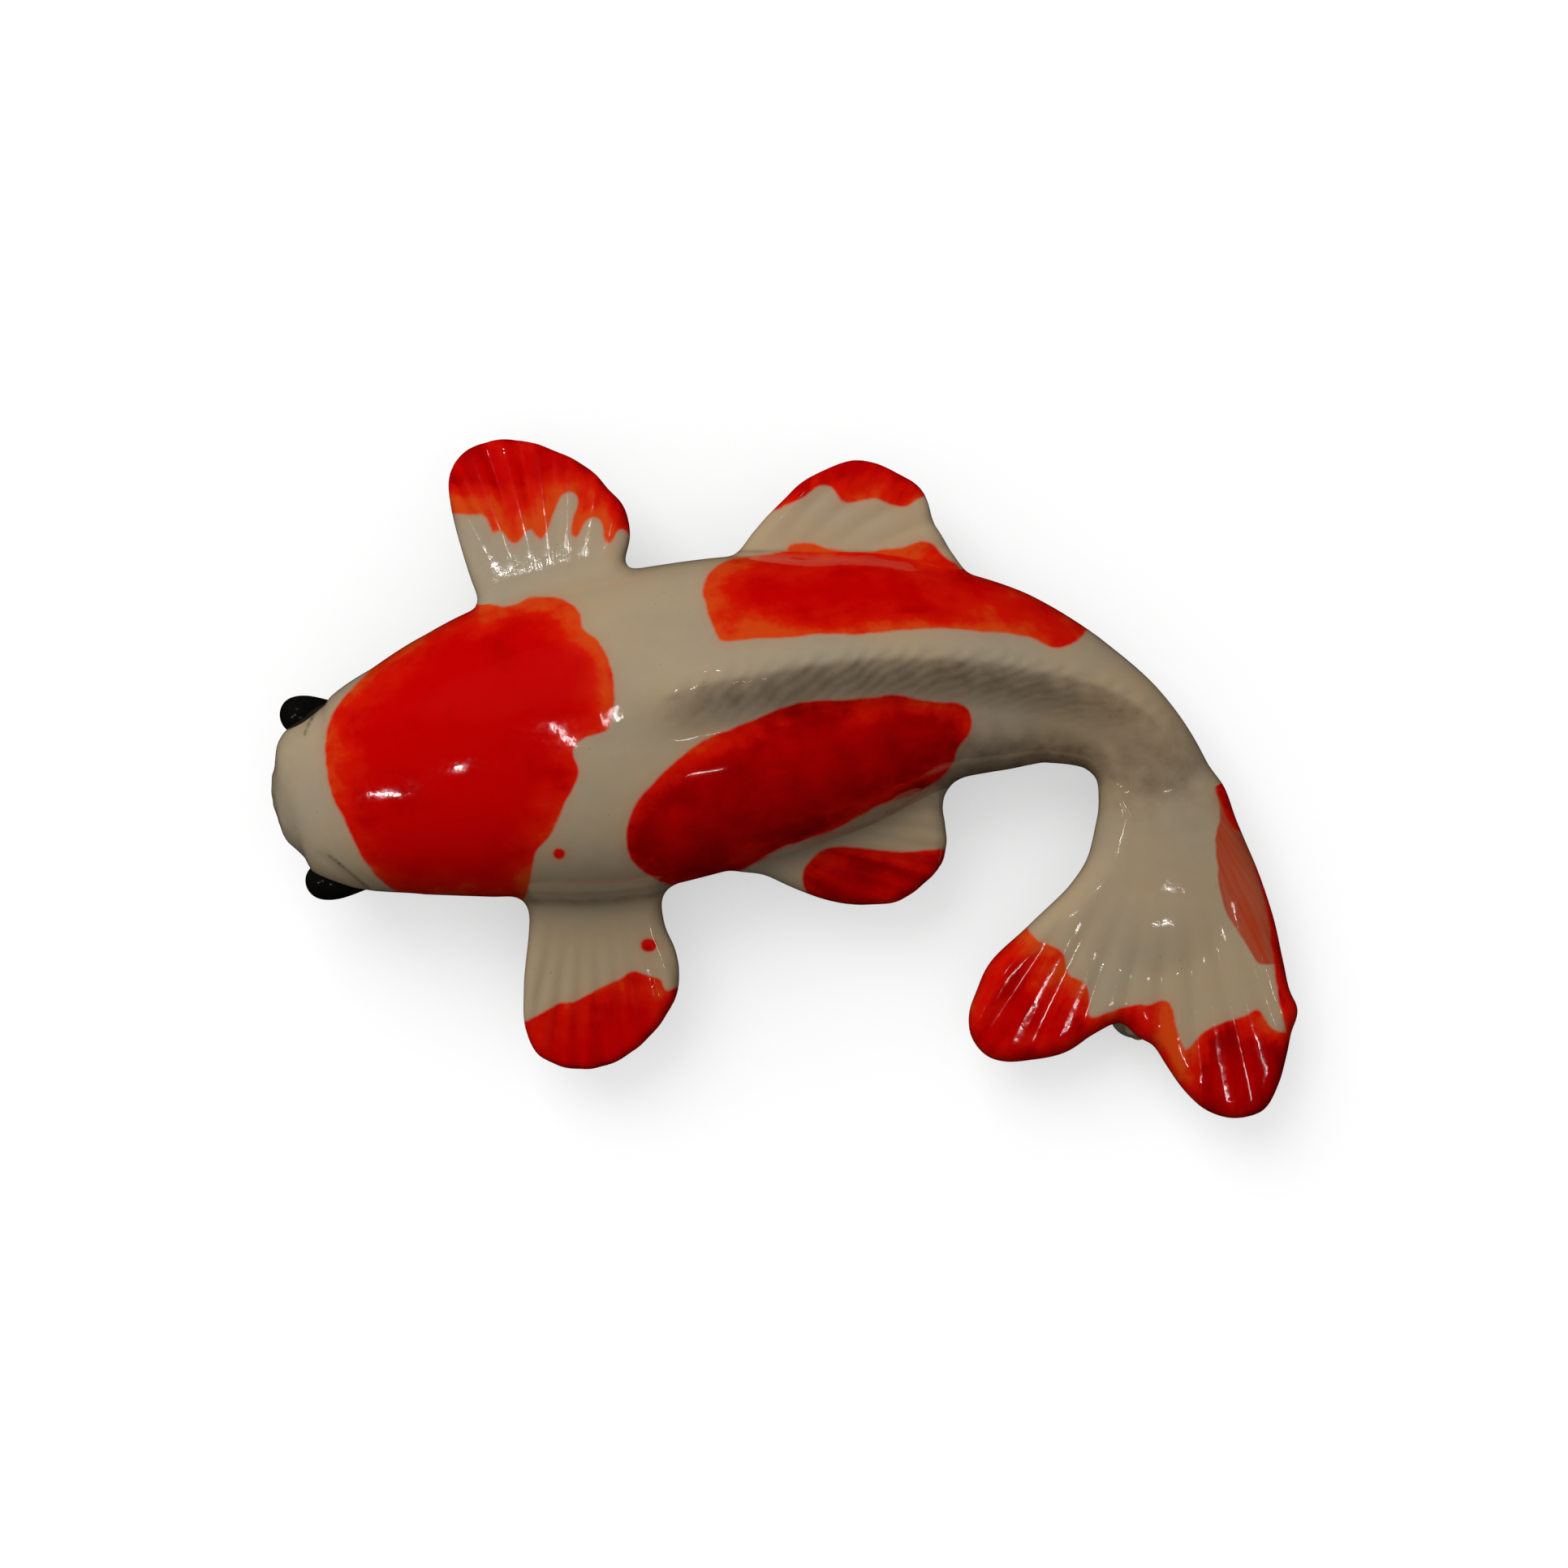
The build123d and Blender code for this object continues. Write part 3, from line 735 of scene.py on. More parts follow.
def turned_form(rings, steps=48):
    """Closed mesh from rings, each a middle, two half axes as vectors; the ends close to points."""
    angles = np.arange(steps) * 2 * math.pi / steps
    vertices = [np.array(rings[0][0], float)[None]]
    for middle, one, two in rings[1:-1]:
        vertices.append(middle + np.cos(angles)[:, None] * one + np.sin(angles)[:, None] * two)
    vertices.append(np.array(rings[-1][0], float)[None])
    vertices = np.concatenate(vertices)
    triangles = []
    last = len(vertices) - 1
    for i in range(steps):
        j = (i + 1) % steps
        triangles.append((0, 1 + j, 1 + i))
        for r in range(len(rings) - 3):
            a, b = 1 + r * steps, 1 + (r + 1) * steps
            triangles += [(a + i, a + j, b + j), (a + i, b + j, b + i)]
        top = 1 + (len(rings) - 3) * steps
        triangles.append((top + i, top + j, last))
    return vertices, np.array(triangles)


def eye_swell(share):
    """Width along an eye, as a share: pointed behind and round in front."""
    if share > EYE_WIDEST:
        return math.sqrt(max(1 - ((share - EYE_WIDEST) / EYE_FRONT) ** 2, 0))
    return math.sin(math.pi / 2 * share / EYE_WIDEST) ** 1.15


def eye_form(rear, turn, length):
    angle = math.radians(turn)
    axis = np.array([-math.cos(angle), -math.sin(angle), 0.0])
    across = np.array([math.sin(angle), -math.cos(angle), 0.0])
    up = np.array([0.0, 0.0, 1.0])
    start = np.array([*rear, EYE_HEIGHT])
    rings = []
    for t in np.linspace(0, 1, 33):
        s = math.sin(math.pi / 2 * t)
        radius = EYE_RADIUS * eye_swell(s)
        rings.append((start + axis * length * s, across * radius, up * 1.15 * radius))
    return turned_form(rings)


PEG_PLACE = (52.8, -35.3)
PEG_PROFILE = [
    (0.0, 0.0), (3.7, 0.0), (3.95, 0.25), (3.9, 1.2), (3.6, 3.0), (3.45, 4.8), (3.5, 6.2),
    (3.3, 7.1), (2.4, 7.9), (1.2, 8.3), (0.0, 8.4),
]


def peg_form():
    fine = open_curve(np.array(PEG_PROFILE), 0.35)
    rings = []
    for radius, height in fine:
        radius = max(radius, 0.0)
        middle = np.array([*PEG_PLACE, max(height, 0.0)])
        rings.append((middle, np.array([radius, 0, 0]), np.array([0, radius * 0.92, 0])))
    vertices, triangles = turned_form(rings)
    x, y, z = vertices.T
    # A little lumpy, but for the foot.
    lump = 0.16 * np.sin(x * 1.3 + z * 0.9) * np.sin(y * 1.1 + 1.0) * smoothstep(0.4, 2.0, z)
    vertices[:, :2] += (vertices[:, :2] - np.array(PEG_PLACE)) * lump[:, None]
    return vertices, triangles


# ---- brushwork

# Deep paint: outline in the photograph, and how dark it is. Where a patch runs over an edge of the
# fish, its outline here goes on past that edge.
BODY_PAINT = [
    ([(401, 934), (404, 892), (419, 866), (437, 845), (480, 797), (540, 754), (588, 738),
      (612, 746), (634, 744), (656, 734), (680, 736), (704, 742), (716, 757), (718, 775),
      (734, 784), (746, 805), (753, 826), (757, 856), (753, 886), (749, 901), (732, 905),
      (710, 916), (704, 928), (713, 943), (713, 956), (704, 976), (691, 1000), (683, 1021),
      (679, 1031), (665, 1042), (657, 1060), (655, 1078), (646, 1108), (549, 1118), (500, 1106),
      (461, 1077), (443, 1050), (428, 1018), (410, 982), (403, 952)], 0.15),
    ([(866, 721), (878, 700), (896, 690), (936, 684), (985, 676), (1050, 672), (1100, 672),
      (1165, 678), (1200, 690), (1250, 705), (1290, 727), (1325, 754), (1342, 775), (1335, 783),
      (1299, 798), (1279, 789), (1202, 778), (1151, 775), (1100, 778), (1060, 782), (1011, 781),
      (965, 787), (920, 789), (885, 789), (876, 764), (867, 738)], 0.2),
    ([(771, 1029), (779, 997), (795, 974), (814, 955), (838, 932), (862, 914), (909, 895),
      (954, 876), (1005, 863), (1053, 861), (1110, 856), (1145, 864), (1192, 872), (1198, 895),
      (1180, 923), (1174, 943), (1142, 971), (1085, 992), (1037, 1018), (992, 1035), (954, 1051),
      (916, 1072), (860, 1094), (812, 1086), (783, 1066)], 0.6),
]
# Places where the paint is thin and shows orange.
BODY_THIN = [
    ([(392, 940), (400, 880), (440, 832), (480, 788), (540, 745), (600, 732), (640, 760),
      (600, 785), (545, 800), (492, 846), (456, 890), (442, 950), (450, 1010), (420, 1000)], 0.32),
    ([(628, 746), (656, 734), (680, 736), (704, 742), (716, 757), (718, 775), (734, 784),
      (746, 805), (753, 826), (757, 856), (753, 886), (745, 895), (738, 862), (728, 822),
      (706, 798), (690, 770), (655, 757)], 0.7),
    ([(862, 738), (874, 745), (905, 760), (930, 752), (962, 768), (1010, 772), (1100, 768),
      (1200, 772), (1290, 784), (1290, 800), (1200, 782), (1100, 786), (1000, 790),
      (880, 794)], 0.65),
    ([(858, 715), (880, 690), (930, 690), (925, 740), (915, 795), (880, 800), (865, 760)], 0.6),
    ([(930, 680), (1150, 672), (1150, 692), (1050, 700), (950, 706)], 0.4),
    ([(1100, 690), (1165, 690), (1180, 720), (1230, 745), (1200, 750), (1150, 735),
      (1110, 715)], 0.5),
    ([(1128, 866), (1150, 862), (1192, 868), (1202, 892), (1190, 912), (1172, 890),
      (1150, 882)], 0.7),
    ([(640, 1112), (549, 1112), (487, 1092), (452, 1062), (470, 1066), (500, 1082), (560, 1092),
      (630, 1094), (655, 1060), (668, 1046), (690, 1000), (694, 1010), (672, 1060),
      (662, 1090)], 0.5),
]
FIN_PAINT = {
    "right_pectoral_fin": [
        ([(530, 622), (545, 634), (562, 633), (584, 634), (594, 632), (604, 648), (609, 662),
          (614, 650), (620, 654), (626, 667), (638, 670), (647, 656), (655, 650), (659, 661),
          (667, 668), (674, 656), (681, 636), (688, 618), (696, 606), (707, 604), (713, 613),
          (708, 631), (703, 650), (705, 665), (713, 662), (717, 649), (724, 640), (735, 637),
          (741, 646), (743, 664), (749, 674), (756, 667), (761, 653), (767, 649), (777, 662),
          (800, 655), (800, 610), (755, 570), (690, 530), (620, 515), (560, 530),
          (530, 580)], 0.4)],
    "left_pectoral_fin": [
        ([(620, 1262), (648, 1258), (667, 1249), (690, 1235), (707, 1235), (722, 1226), (738, 1216),
          (763, 1207), (780, 1194), (791, 1199), (800, 1204), (814, 1205), (820, 1222), (834, 1216),
          (865, 1215), (850, 1275), (800, 1325), (745, 1350), (690, 1345), (635, 1320)], 0.3)],
    "right_pelvic_fin": [
        ([(930, 640), (950, 630), (962, 625), (978, 619), (999, 606), (1014, 597), (1025, 600),
          (1037, 619), (1058, 618), (1080, 615), (1098, 623), (1114, 626), (1137, 612), (1165, 605),
          (1150, 565), (1057, 540), (985, 560), (930, 610)], 0.4),
        ([(970, 672), (990, 668), (1022, 676), (1060, 681), (1094, 677), (1120, 672), (1134, 667),
          (1151, 670), (1160, 684), (1185, 700), (1190, 716), (1100, 706), (1050, 702),
          (985, 702)], 0.0)],
    "left_pelvic_fin": [
        ([(991, 1068), (988, 1082), (993, 1099), (1005, 1122), (1069, 1132), (1115, 1127),
          (1155, 1105), (1184, 1066), (1184, 1040), (1166, 1045), (1140, 1048), (1117, 1049),
          (1069, 1046), (1031, 1043), (1011, 1048)], 0.55)],
    "tail_fin": [
        ([(1250, 1130), (1268, 1145), (1279, 1160), (1298, 1165), (1309, 1174), (1314, 1190),
          (1316, 1203), (1328, 1204), (1338, 1213), (1343, 1235), (1341, 1254), (1360, 1249),
          (1380, 1243), (1400, 1237), (1420, 1238), (1434, 1231), (1442, 1237), (1447, 1255),
          (1453, 1275), (1459, 1291), (1470, 1325), (1462, 1362), (1425, 1320), (1412, 1298),
          (1384, 1276), (1350, 1290), (1322, 1312), (1277, 1327), (1240, 1328), (1200, 1315),
          (1178, 1280), (1178, 1240), (1198, 1185)], 0.3),
        ([(1455, 1300), (1462, 1294), (1475, 1278), (1488, 1268), (1507, 1259), (1533, 1252),
          (1550, 1241), (1557, 1250), (1563, 1264), (1579, 1271), (1615, 1275), (1610, 1345),
          (1580, 1395), (1520, 1402), (1468, 1380), (1440, 1335)], 0.8),
        ([(1494, 955), (1498, 975), (1504, 988), (1512, 1012), (1522, 1024), (1534, 1027),
          (1541, 1050), (1549, 1079), (1557, 1112), (1565, 1149), (1570, 1185), (1574, 1220),
          (1579, 1251), (1590, 1285), (1625, 1275), (1622, 1180), (1590, 1080), (1555, 1000),
          (1515, 940)], 0.6)],
}
FIN_THIN = {
    "right_pectoral_fin": [
        ([(540, 600), (590, 595), (620, 605), (650, 590), (690, 590), (720, 585), (745, 610),
          (740, 680), (700, 680), (620, 680), (540, 645)], 1.1)],
    "right_pelvic_fin": [
        ([(960, 680), (985, 660), (1060, 672), (1120, 664), (1140, 680), (1120, 710),
          (980, 706)], 0.8)],
    "tail_fin": [
        ([(1240, 1140), (1300, 1160), (1330, 1200), (1345, 1225), (1335, 1250), (1305, 1240),
          (1290, 1290), (1250, 1290), (1225, 1250), (1228, 1200), (1235, 1170)], 0.8),
        ([(1425, 1240), (1440, 1235), (1452, 1262), (1462, 1296), (1478, 1345), (1462, 1345),
          (1440, 1310), (1420, 1280), (1412, 1262)], 1.2),
        ([(1540, 1235), (1560, 1235), (1582, 1268), (1575, 1285), (1558, 1272),
          (1545, 1262)], 0.8),
        ([(1450, 1300), (1475, 1276), (1480, 1300), (1475, 1350), (1455, 1345)], 0.8)],
}
# Thin orange washes over bare glaze.
FIN_WASH = {
    "tail_fin": [
        [(1496, 960), (1502, 986), (1503, 1008), (1498, 1028), (1500, 1066), (1504, 1107),
         (1511, 1125), (1524, 1148), (1540, 1172), (1553, 1190), (1566, 1188), (1600, 1190),
         (1600, 1120), (1560, 1040), (1520, 965)]],
}
DOTS = {
    "left_pectoral_fin": [((799, 1165), 1.15)],
    "right_pelvic_fin": [((1144, 678), 0.7)],
    "back_shell": [((689, 1052), 0.95)],
}
FAR = -30.0


def paint_maps(patches, thin_places, washes, dots):
    """Maps of the distance inside the paint, its darkness, its thinness, and of the wash."""
    paint = np.full(plan_x.shape, FAR)
    dark = np.zeros(plan_x.shape)
    for outline, darkness in patches:
        inside = patch_map(outline)
        dark = np.where(inside > paint, darkness, dark)
        paint = np.maximum(paint, inside)
    for (u, v), radius in dots:
        x, y = mm(u, v)
        inside = radius - np.hypot(plan_x - x, (plan_y - y) * 1.15)
        dark = np.where(inside > paint, 0.3, dark)
        paint = np.maximum(paint, inside)
    thin = np.zeros(plan_x.shape)
    for outline, strength in thin_places:
        thin = np.maximum(thin, strength * smoothstep(-2.0, 2.0, patch_map(outline)))
    wash = np.full(plan_x.shape, FAR)
    for outline in washes:
        wash = np.maximum(wash, patch_map(outline))
    return paint, dark, thin, wash


SHELL_PAINT = paint_maps(BODY_PAINT, BODY_THIN, [], DOTS["back_shell"])
PAINT = {name: SHELL_PAINT for name in ("back_shell", "belly_shell", "dorsal_fin")}
for fin_name in FINS:
    tables = (FIN_THIN.get(fin_name, []), FIN_WASH.get(fin_name, []), DOTS.get(fin_name, []))
    PAINT[fin_name] = paint_maps(FIN_PAINT[fin_name], *tables)


# Brushwork ends low on the sides of the body, at an uneven line this far under the middle, and a
# little under the middle of a fin. It fades there over the height that its steepness gives.
BODY_LIMIT = 4.0
FIN_LIMIT = 0.6
LIMIT_STEEPNESS = 3.0
BODY_STREAKS = 0.3
# Painted shade on the stalk, an oval with its middle, half axes and strength.
STALK_SHADE, STALK_MIDDLE, STALK_AXES = 0.5, (54.0, 1.5), (13.0, 9.0)
# Painted shade on the left flank and the ridge's shaded face, more between rays; dark brow lines.
FLANK_SHADE = 0.5
RIDGE_SHADE = 0.42
RAY_SHADE = 0.12
BROW_SHADE, BROW_SHADE_WIDTH = 0.8, 0.28
# Painted shade, with some pooled glaze, where a fin meets the body: how dark, and how wide.
CREASES = {
    "left_pectoral_fin": (0.45, 2.2),
    "right_pectoral_fin": (0.12, 1.5),
    "right_pelvic_fin": (0.5, 0.7),
    "left_pelvic_fin": (0.12, 1.5),
}


def crease_shade(places):
    """Painted shade, partly pooled glaze, where the fins meet the body, and on the stalk."""
    x, y, _ = places.T
    (cx, cy), (a, b) = STALK_MIDDLE, STALK_AXES
    shade_and_pool = STALK_SHADE * np.exp(-(((x - cx) / a) ** 2 + ((y - cy) / b) ** 2))
    body = read_grid(body_alone, places)
    near = smoothstep(3.0, 0.6, np.abs(body))
    for fin_name, (strength, width) in CREASES.items():
        pad = read_grid(fin_fields[fin_name], places)
        shade_and_pool = np.maximum(shade_and_pool, strength * bell(body - pad, width) * near)
    return shade_and_pool


def body_shade(places):
    """Painted shade on the left flank and the ridge's shaded face, and a dark line along the brows.
    """
    x, y, z = places.T
    outer = read_map(spine_away * spine_side / half_width_map, x, y)
    flank = smoothstep(-15.0, 20.0, x) * smoothstep(-9.0, 3.0, y + np.maximum(45.0 - x, 0))
    flank = FLANK_SHADE * flank * smoothstep(-0.15, -0.75, outer)
    brow = np.minimum(*(read_map(m, *as_seen(x, y, z)) for m in brow_maps))
    brow = BROW_SHADE * bell(brow, BROW_SHADE_WIDTH) * smoothstep(12.0, 15.0, z)
    groove = read_map(crest_groove, x, y) / RAY_DEPTH
    across = read_map(crest_across, x, y)
    behind = smoothstep(0.6, -1.2, across) * smoothstep(-9.5, -2.5, across)
    behind *= smoothstep(*CREST_DETAIL, read_map(crest_height, x, y))
    behind *= smoothstep(0.0, 4.0, z - read_map(middle_map, x, y))
    return np.max([flank, brow, (RIDGE_SHADE + RAY_SHADE * groove) * behind], axis=0)


def finish_values(name, places):
    """What the glaze needs to know at each vertex of a piece."""
    x, y, z = places.T
    seen = as_seen(x, y, z)
    paint, dark, thin, wash = (read_map(m, *seen) for m in PAINT[name])
    # Painted shade in the creases and on the stalk; on the body also on the flank and the ridge.
    shade_and_pool = crease_shade(places)
    if name in FINS:
        one = FINS[name]
        limit = read_map(one.middle - FIN_LIMIT * one.half, x, y)
        run, across, streaks = one.spread, one.stroke, 1.0
    else:
        wave = 1.3 * np.sin(0.43 * x) + 0.7 * np.sin(1.1 * x + 0.3 * y)
        limit = read_map(middle_map, x, y) - BODY_LIMIT + wave
        run, across, streaks = spine_stop, spine_away * spine_side, BODY_STREAKS
        shade_and_pool = np.maximum(shade_and_pool, body_shade(places))
    upper = (z - limit) * LIMIT_STEEPNESS
    return {
        "paint": np.minimum(paint, upper),
        "wash": np.minimum(wash, upper),
        "dark": dark,
        "thin": thin,
        "streaks": np.full(len(x), streaks),
        "shade_and_pool": shade_and_pool,
        "foot": smoothstep(1.0, 0.25, z),
        "stroke": np.stack([read_map(run, x, y), read_map(across, x, y), np.zeros(len(x))], 1),
    }


# ---- materials

def linear(red, green, blue):
    """A colour of the picture, 0 to 255, as the renderer counts it."""
    parts = [c / 255 for c in (red, green, blue)]
    parts = [c / 12.92 if c <= 0.04045 else ((c + 0.055) / 1.055) ** 2.4 for c in parts]
    return (*parts, 1.0)


class Shader:
    """A material's nodes, made by short calls."""

    def __init__(self, name):
        self.material = bpy.data.materials.new(name)
        self.material.use_nodes = True
        self.tree = self.material.node_tree
        self.tree.nodes.clear()

    def add(self, kind, inputs=(), **settings):
        node = self.tree.nodes.new("ShaderNode" + kind)
        for key, value in settings.items():
            setattr(node, key, value)
        for key, value in dict(inputs).items():
            if isinstance(value, bpy.types.NodeSocket):
                self.tree.links.new(value, node.inputs[key])
            else:
                node.inputs[key].default_value = value
        return node

    def math(self, kind, a, b=0.0):
        return self.add("Math", {0: a, 1: b}, operation=kind).outputs[0]

    def plus(self, first, *terms):
        """A sum: first, and then pairs of a value and how many times it counts."""
        for value, times in terms:
            first = self.math("ADD", first, self.math("MULTIPLY", value, times))
        return first

    def step(self, *settings):
        """Smooth step of a value from a low to a high one, to 0 and 1 or to the two given last."""
        inputs = dict(zip(("Value", "From Min", "From Max", "To Min", "To Max"), settings))
        return self.add("MapRange", inputs, interpolation_type="SMOOTHSTEP").outputs[0]

    def mix(self, share, a, b):
        return self.add("Mix", {0: share, 6: a, 7: b}, data_type="RGBA").outputs[2]

    def noise(self, vector, scale, detail=2.0, rough=0.5):
        inputs = {"Vector": vector, "Scale": scale, "Detail": detail, "Roughness": rough}
        return self.add("TexNoise", inputs).outputs[0]

    def centred_noise(self, *settings):
        return self.math("SUBTRACT", self.noise(*settings), 0.5)

    def value(self, name, output="Fac"):
        """A value that the mesh carries at its vertices."""
        return self.add("Attribute", attribute_name=name).outputs[output]

    def finish(self, color, roughness, normal):
        inputs = {"Base Color": color, "Roughness": roughness, "IOR": 1.5, "Normal": normal}
        self.add("OutputMaterial", {"Surface": self.add("BsdfPrincipled", inputs).outputs[0]})
        return self.material


GLAZE = linear(155, 139, 115)
GLAZE_COOL = linear(146, 133, 112)
GLAZE_WARM = linear(159, 137, 106)
PINK = linear(165, 96, 70)
ORANGE = linear(190, 60, 15)
WASH = linear(156, 46, 14)
SCARLET = linear(188, 18, 3)
RED = linear(178, 1, 1)
DEEP_RED = linear(124, 0, 1)
BROWN = linear(70, 44, 26)
CLAY = linear(190, 172, 148)


def white_glaze(s, place):
    """Clear glaze over warm white clay: uneven in tone, with small specks."""
    broad = s.noise(place, 45.0, 3.0)
    fine = s.noise(place, 420.0, 4.0, 0.6)
    color = s.mix(s.step(broad, 0.35, 0.7), GLAZE_COOL, GLAZE_WARM)
    color = s.mix(s.step(fine, 0.3, 0.75, 0.0, 0.55), color, GLAZE)
    speck = s.add("TexVoronoi", {"Vector": place, "Scale": 300.0}).outputs["Distance"]
    return s.mix(s.step(speck, 0.08, 0.02, 0.0, 0.22), color, BROWN)


def glaze_bumps(s, place, strokes=None):
    """Uneven glaze: slow waves, a fine ripple, a few pits, and low ridges along the strokes."""
    waves = s.noise(place, 260.0, 1.5)
    ripple = s.noise(place, 900.0, 2.0)
    pits = s.add("TexVoronoi", {"Vector": place, "Scale": 330.0}).outputs["Distance"]
    pits = s.step(pits, 0.02, 0.12)
    height = s.plus(waves, (ripple, 0.3), (pits, 0.08))
    if strokes is not None:
        height = s.math("ADD", height, strokes)
    return s.add("Bump", {"Height": height, "Strength": 1.0, "Distance": 0.00003}).outputs[0]


def painted_glaze():
    s = Shader("painted_glaze")
    place = s.add("TexCoord").outputs["Object"]
    # Noise stretched along the brush strokes.
    drawn = {0: s.value("stroke", "Vector"), 1: (0.06, 0.55, 1.0)}
    drawn = s.add("VectorMath", drawn, operation="MULTIPLY").outputs[0]
    stroke = s.math("MULTIPLY", s.centred_noise(drawn, 1.0, 3.0), s.value("streaks"))
    clouds = s.centred_noise(place, 140.0, 4.0, 0.6)
    ragged = s.centred_noise(place, 330.0, 3.0)
    fine = s.noise(place, 900.0)
    dark = s.value("dark")
    # Painted shade in creases and on shaded sides, some pooled glaze, and the brow lines.
    shade_and_pool = s.math("MULTIPLY", s.value("shade_and_pool"), s.plus(1.0, (ragged, 1.2)))
    color = s.mix(s.step(shade_and_pool, 0.05, 1.0, 0.0, 0.9), white_glaze(s, place), BROWN)
    # Thin washes let the glaze show through.
    wash = s.step(s.plus(s.value("wash"), (ragged, 0.7)), -0.15, 0.3)
    color = s.mix(s.math("MULTIPLY", wash, s.plus(0.88, (stroke, 0.5))), color, WASH)
    # The patches: a faint halo, and paint that goes from orange to deep red with its thickness.
    edge = s.plus(s.value("paint"), (ragged, 0.7), (clouds, 0.4))
    color = s.mix(s.step(edge, -2.2, 0.1, 0.0, 0.16), color, PINK)
    thick = s.plus(edge, (clouds, 15.0), (stroke, 7.0), (dark, 4.0), (s.value("thin"), -4.0))
    paint = s.mix(s.step(thick, -2.4, 2.0), ORANGE, SCARLET)
    paint = s.mix(s.step(thick, 0.8, 6.5), paint, RED)
    depth = s.step(s.plus(dark, (clouds, 1.6), (stroke, 1.2)), 0.1, 1.1, 0.0, 0.9)
    paint = s.mix(s.math("MULTIPLY", depth, s.step(thick, 2.0, 6.0)), paint, DEEP_RED)
    color = s.mix(s.step(edge, -0.25, 0.3), color, paint)
    # The foot is bare clay.
    color = s.mix(s.value("foot"), color, CLAY)
    rough = s.plus(s.step(fine, 0.3, 0.7, 0.04, 0.08), (s.value("foot"), 0.6))
    return s.finish(color, rough, glaze_bumps(s, place, stroke))


def plain_glaze():
    s = Shader("plain_glaze")
    place = s.add("TexCoord").outputs["Object"]
    rough = s.step(s.noise(place, 500.0), 0.3, 0.7, 0.16, 0.28)
    return s.finish(white_glaze(s, place), rough, glaze_bumps(s, place))


def black_glaze():
    s = Shader("black_glaze")
    place = s.add("TexCoord").outputs["Object"]
    color = s.mix(s.noise(place, 300.0, 3.0), linear(6, 6, 5), linear(16, 15, 12))
    rough = s.step(s.noise(place, 700.0), 0.3, 0.7, 0.10, 0.18)
    bump = s.add("Bump", {"Height": s.noise(place, 260.0), "Strength": 0.5, "Distance": 0.0002})
    return s.finish(color, rough, bump.outputs[0])


# ---- objects

def linked(made):
    bpy.context.scene.collection.objects.link(made)
    return made


# Faces with a corner whose normal leans away from their own, by this cosine, are shaded flat.
FLAT_BELOW = 0.3


def to_object(name, places, triangles, material, normals=None, closing=None, values=None):
    """A mesh object from millimetres. Its shading follows the form where normals are given."""
    data = bpy.data.meshes.new(name)
    data.vertices.add(len(places))
    data.vertices.foreach_set("co", (places * MM).astype(np.float32).ravel())
    data.loops.add(triangles.size)
    data.loops.foreach_set("vertex_index", triangles.astype(np.int32).ravel())
    data.polygons.add(len(triangles))
    data.polygons.foreach_set("loop_start", np.arange(0, triangles.size, 3, dtype=np.int32))
    data.polygons.foreach_set("use_smooth", np.ones(len(triangles), bool))
    data.update(calc_edges=True)
    data.validate()
    if normals is not None:
        a, b, c = (places[triangles[:, n]] for n in range(3))
        sides = np.cross(b - a, c - a)
        sides /= np.maximum(np.linalg.norm(sides, axis=1, keepdims=True), 1e-12)
        corner = normals[triangles]
        flat = closing | (np.einsum("ijk,ik->ij", corner, sides).min(axis=1) < FLAT_BELOW)
        corner = np.where(flat[:, None, None], sides[:, None, :], corner)
        data.normals_split_custom_set(corner.reshape(-1, 3).tolist())
    for key, value in (values or {}).items():
        kind, part = ("FLOAT_VECTOR", "vector") if value.ndim == 2 else ("FLOAT", "value")
        made = data.attributes.new(key, kind, "POINT")
        made.data.foreach_set(part, value.astype(np.float32).ravel())
    data.materials.append(material)
    return linked(bpy.data.objects.new(name, data))


def place_piece(made, node):
    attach(made, "root")
    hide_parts(node)


painted = painted_glaze()
for node, piece in pieces.items():
    slope = slope_at(piece.vertices)
    normals = slope / np.maximum(np.linalg.norm(slope, axis=1, keepdims=True), 1e-9)
    values = finish_values(node, piece.vertices)
    made = to_object(
        "glazed_" + node, piece.vertices, piece.triangles, painted, normals, piece.closing, values)
    place_piece(made, node)

black = black_glaze()
for node, eye in EYES.items():
    place_piece(to_object("bead_" + node, *eye_form(*eye), black), node)
place_piece(to_object("stub_tail_peg", *peg_form(), plain_glaze()), "tail_peg")


# ---- table, lamps and camera

def gray(level):
    return (level, level, level, 1.0)


def white_table():
    """White board: bright to the camera with a soft shadow, partly painted, dim to the fish, not
    mirrored in it.
    """
    s = Shader("white_board")
    grain = s.noise(s.add("TexCoord").outputs["Object"], 30.0)
    path = s.add("LightPath").outputs
    shown = s.add("BsdfDiffuse", {"Color": s.mix(grain, gray(0.24), gray(0.26))})
    # Its glow dims where the fish shuts out the sky: painted shadow around the fish.
    open_sky = s.add("AmbientOcclusion", {"Distance": 0.08}, samples=16).outputs["AO"]
    glow = s.add("Emission", {"Strength": s.step(open_sky, -0.6, 1.0, 0.26, 0.77)})
    bright = s.add("AddShader", {0: shown.outputs[0], 1: glow.outputs[0]})
    dull = s.mix(path["Is Glossy Ray"], s.mix(grain, gray(0.34), gray(0.38)), gray(0.0))
    dim = s.add("BsdfDiffuse", {"Color": dull})
    both = s.add("MixShader", {0: path["Is Camera Ray"], 1: dim.outputs[0], 2: bright.outputs[0]})
    s.add("OutputMaterial", {"Surface": both.outputs[0]})
    return s.material


HALF_BOARD = 2.5
board_mesh = bpy.data.meshes.new("board")
corners = [(i * HALF_BOARD, j * HALF_BOARD, 0) for i, j in ((-1, -1), (1, -1), (1, 1), (-1, 1))]
board_mesh.from_pydata(corners, [], [(0, 1, 2, 3)])
board_mesh.materials.append(white_table())
board = linked(bpy.data.objects.new("board", board_mesh))


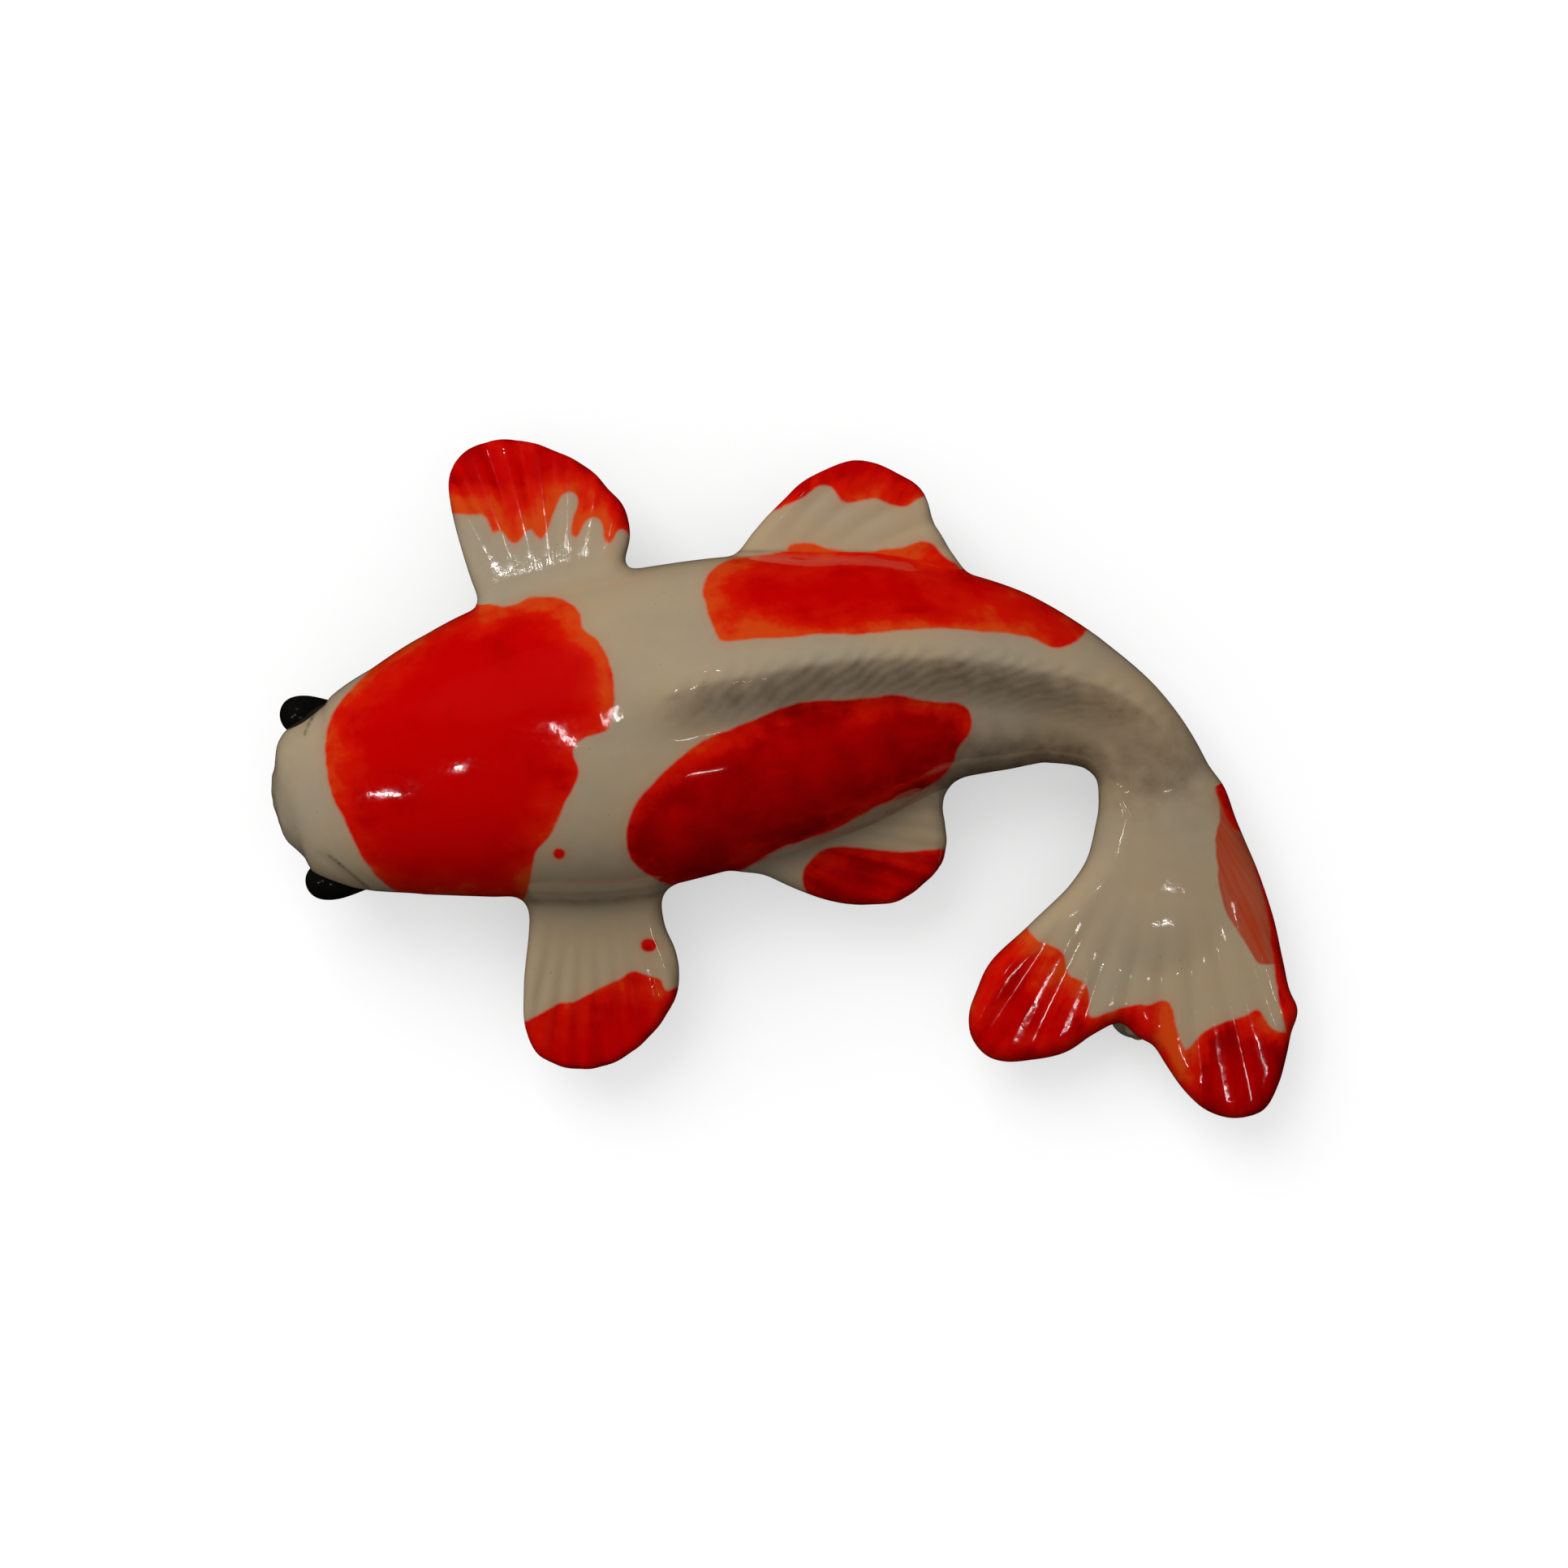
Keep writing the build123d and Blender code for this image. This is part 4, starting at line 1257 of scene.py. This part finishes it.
def lamp(name, place, size, level, aim, turn=0.0, glossy=True):
    """Lamp that lights a level white surface at its aim to the given brightness."""
    data = bpy.data.lights.new(name, "AREA")
    data.shape = "RECTANGLE"
    data.size, data.size_y = size
    ray = Vector(place) - Vector(aim)
    data.energy = math.pi**2 * ray.length**2 * level / (ray.z / ray.length)
    made = linked(bpy.data.objects.new(name, data))
    made.location = place
    made.rotation_mode = "QUATERNION"
    turned = Quaternion((0, 0, 1), math.radians(turn))
    made.rotation_quaternion = ray.to_track_quat("Z", "Y") @ turned
    made.visible_glossy = glossy


WINDOW_LEVEL = 0.84
lamp("window", (-1.1, 1.75, 2.5), (2.2, 2.2), WINDOW_LEVEL, (0.0, 0.0, 0.015), glossy=False)
# Small lamps that only matter for the thin highlights: along the head, on the fins and on the tail.
# Each has its place, length and width, level, the place that it is aimed at, and its turn.
STRIP_HEIGHT = 0.70
for name, (x, y), size, level, aim, turn in (
    ("snout", (-0.555, -0.180), (0.090, 0.004), 0.014, (-0.057, -0.002, 0.029), 32.0),
    ("head", (-0.384, -0.087), (0.022, 0.007), 0.006, (-0.047, 0.002, 0.032), 32.0),
    ("nape", (-0.195, 0.020), (0.125, 0.004), 0.016, (-0.031, 0.006, 0.034), 32.0),
    ("north", (-0.170, 0.640), (0.034, 0.005), 0.004, (-0.042, 0.034, 0.018), 20.0),
    ("south", (0.150, -0.260), (0.070, 0.006), 0.009, (0.045, -0.020, 0.015), -35.0),
):
    lamp("strip_" + name, (x, y, STRIP_HEIGHT), size, level, aim, turn)

# The room lights the fish softly, is white behind it, and isn't mirrored in the glaze.
ROOM_LEVEL = 0.24
world = bpy.data.worlds.new("room")
bpy.context.scene.world = world
world.use_nodes = True
room = world.node_tree
path = room.nodes.new("ShaderNodeLightPath")
unmirrored = room.nodes.new("ShaderNodeMapRange")
unmirrored.inputs["To Min"].default_value = ROOM_LEVEL
unmirrored.inputs["To Max"].default_value = 0.0
brightness = room.nodes.new("ShaderNodeMath")
brightness.operation = "MAXIMUM"
background = room.nodes["Background"]
background.inputs["Color"].default_value = gray(1.0)
room.links.new(path.outputs["Is Glossy Ray"], unmirrored.inputs["Value"])
room.links.new(path.outputs["Is Camera Ray"], brightness.inputs[0])
room.links.new(unmirrored.outputs[0], brightness.inputs[1])
room.links.new(brightness.outputs[0], background.inputs["Strength"])

camera_data = bpy.data.cameras.new("camera")
camera_data.sensor_width = SENSOR
camera_data.lens = SENSOR * CAMERA_HEIGHT / (PHOTO_PIXELS * PIXEL)
camera_data.clip_start = 0.01
camera = linked(bpy.data.objects.new("camera", camera_data))
camera.location = [c * MM for c in (*VIEW_CENTRE, CAMERA_HEIGHT + OUTLINE_HEIGHT)]
bpy.context.scene.camera = camera
bpy.context.scene.view_settings.view_transform = "Standard"
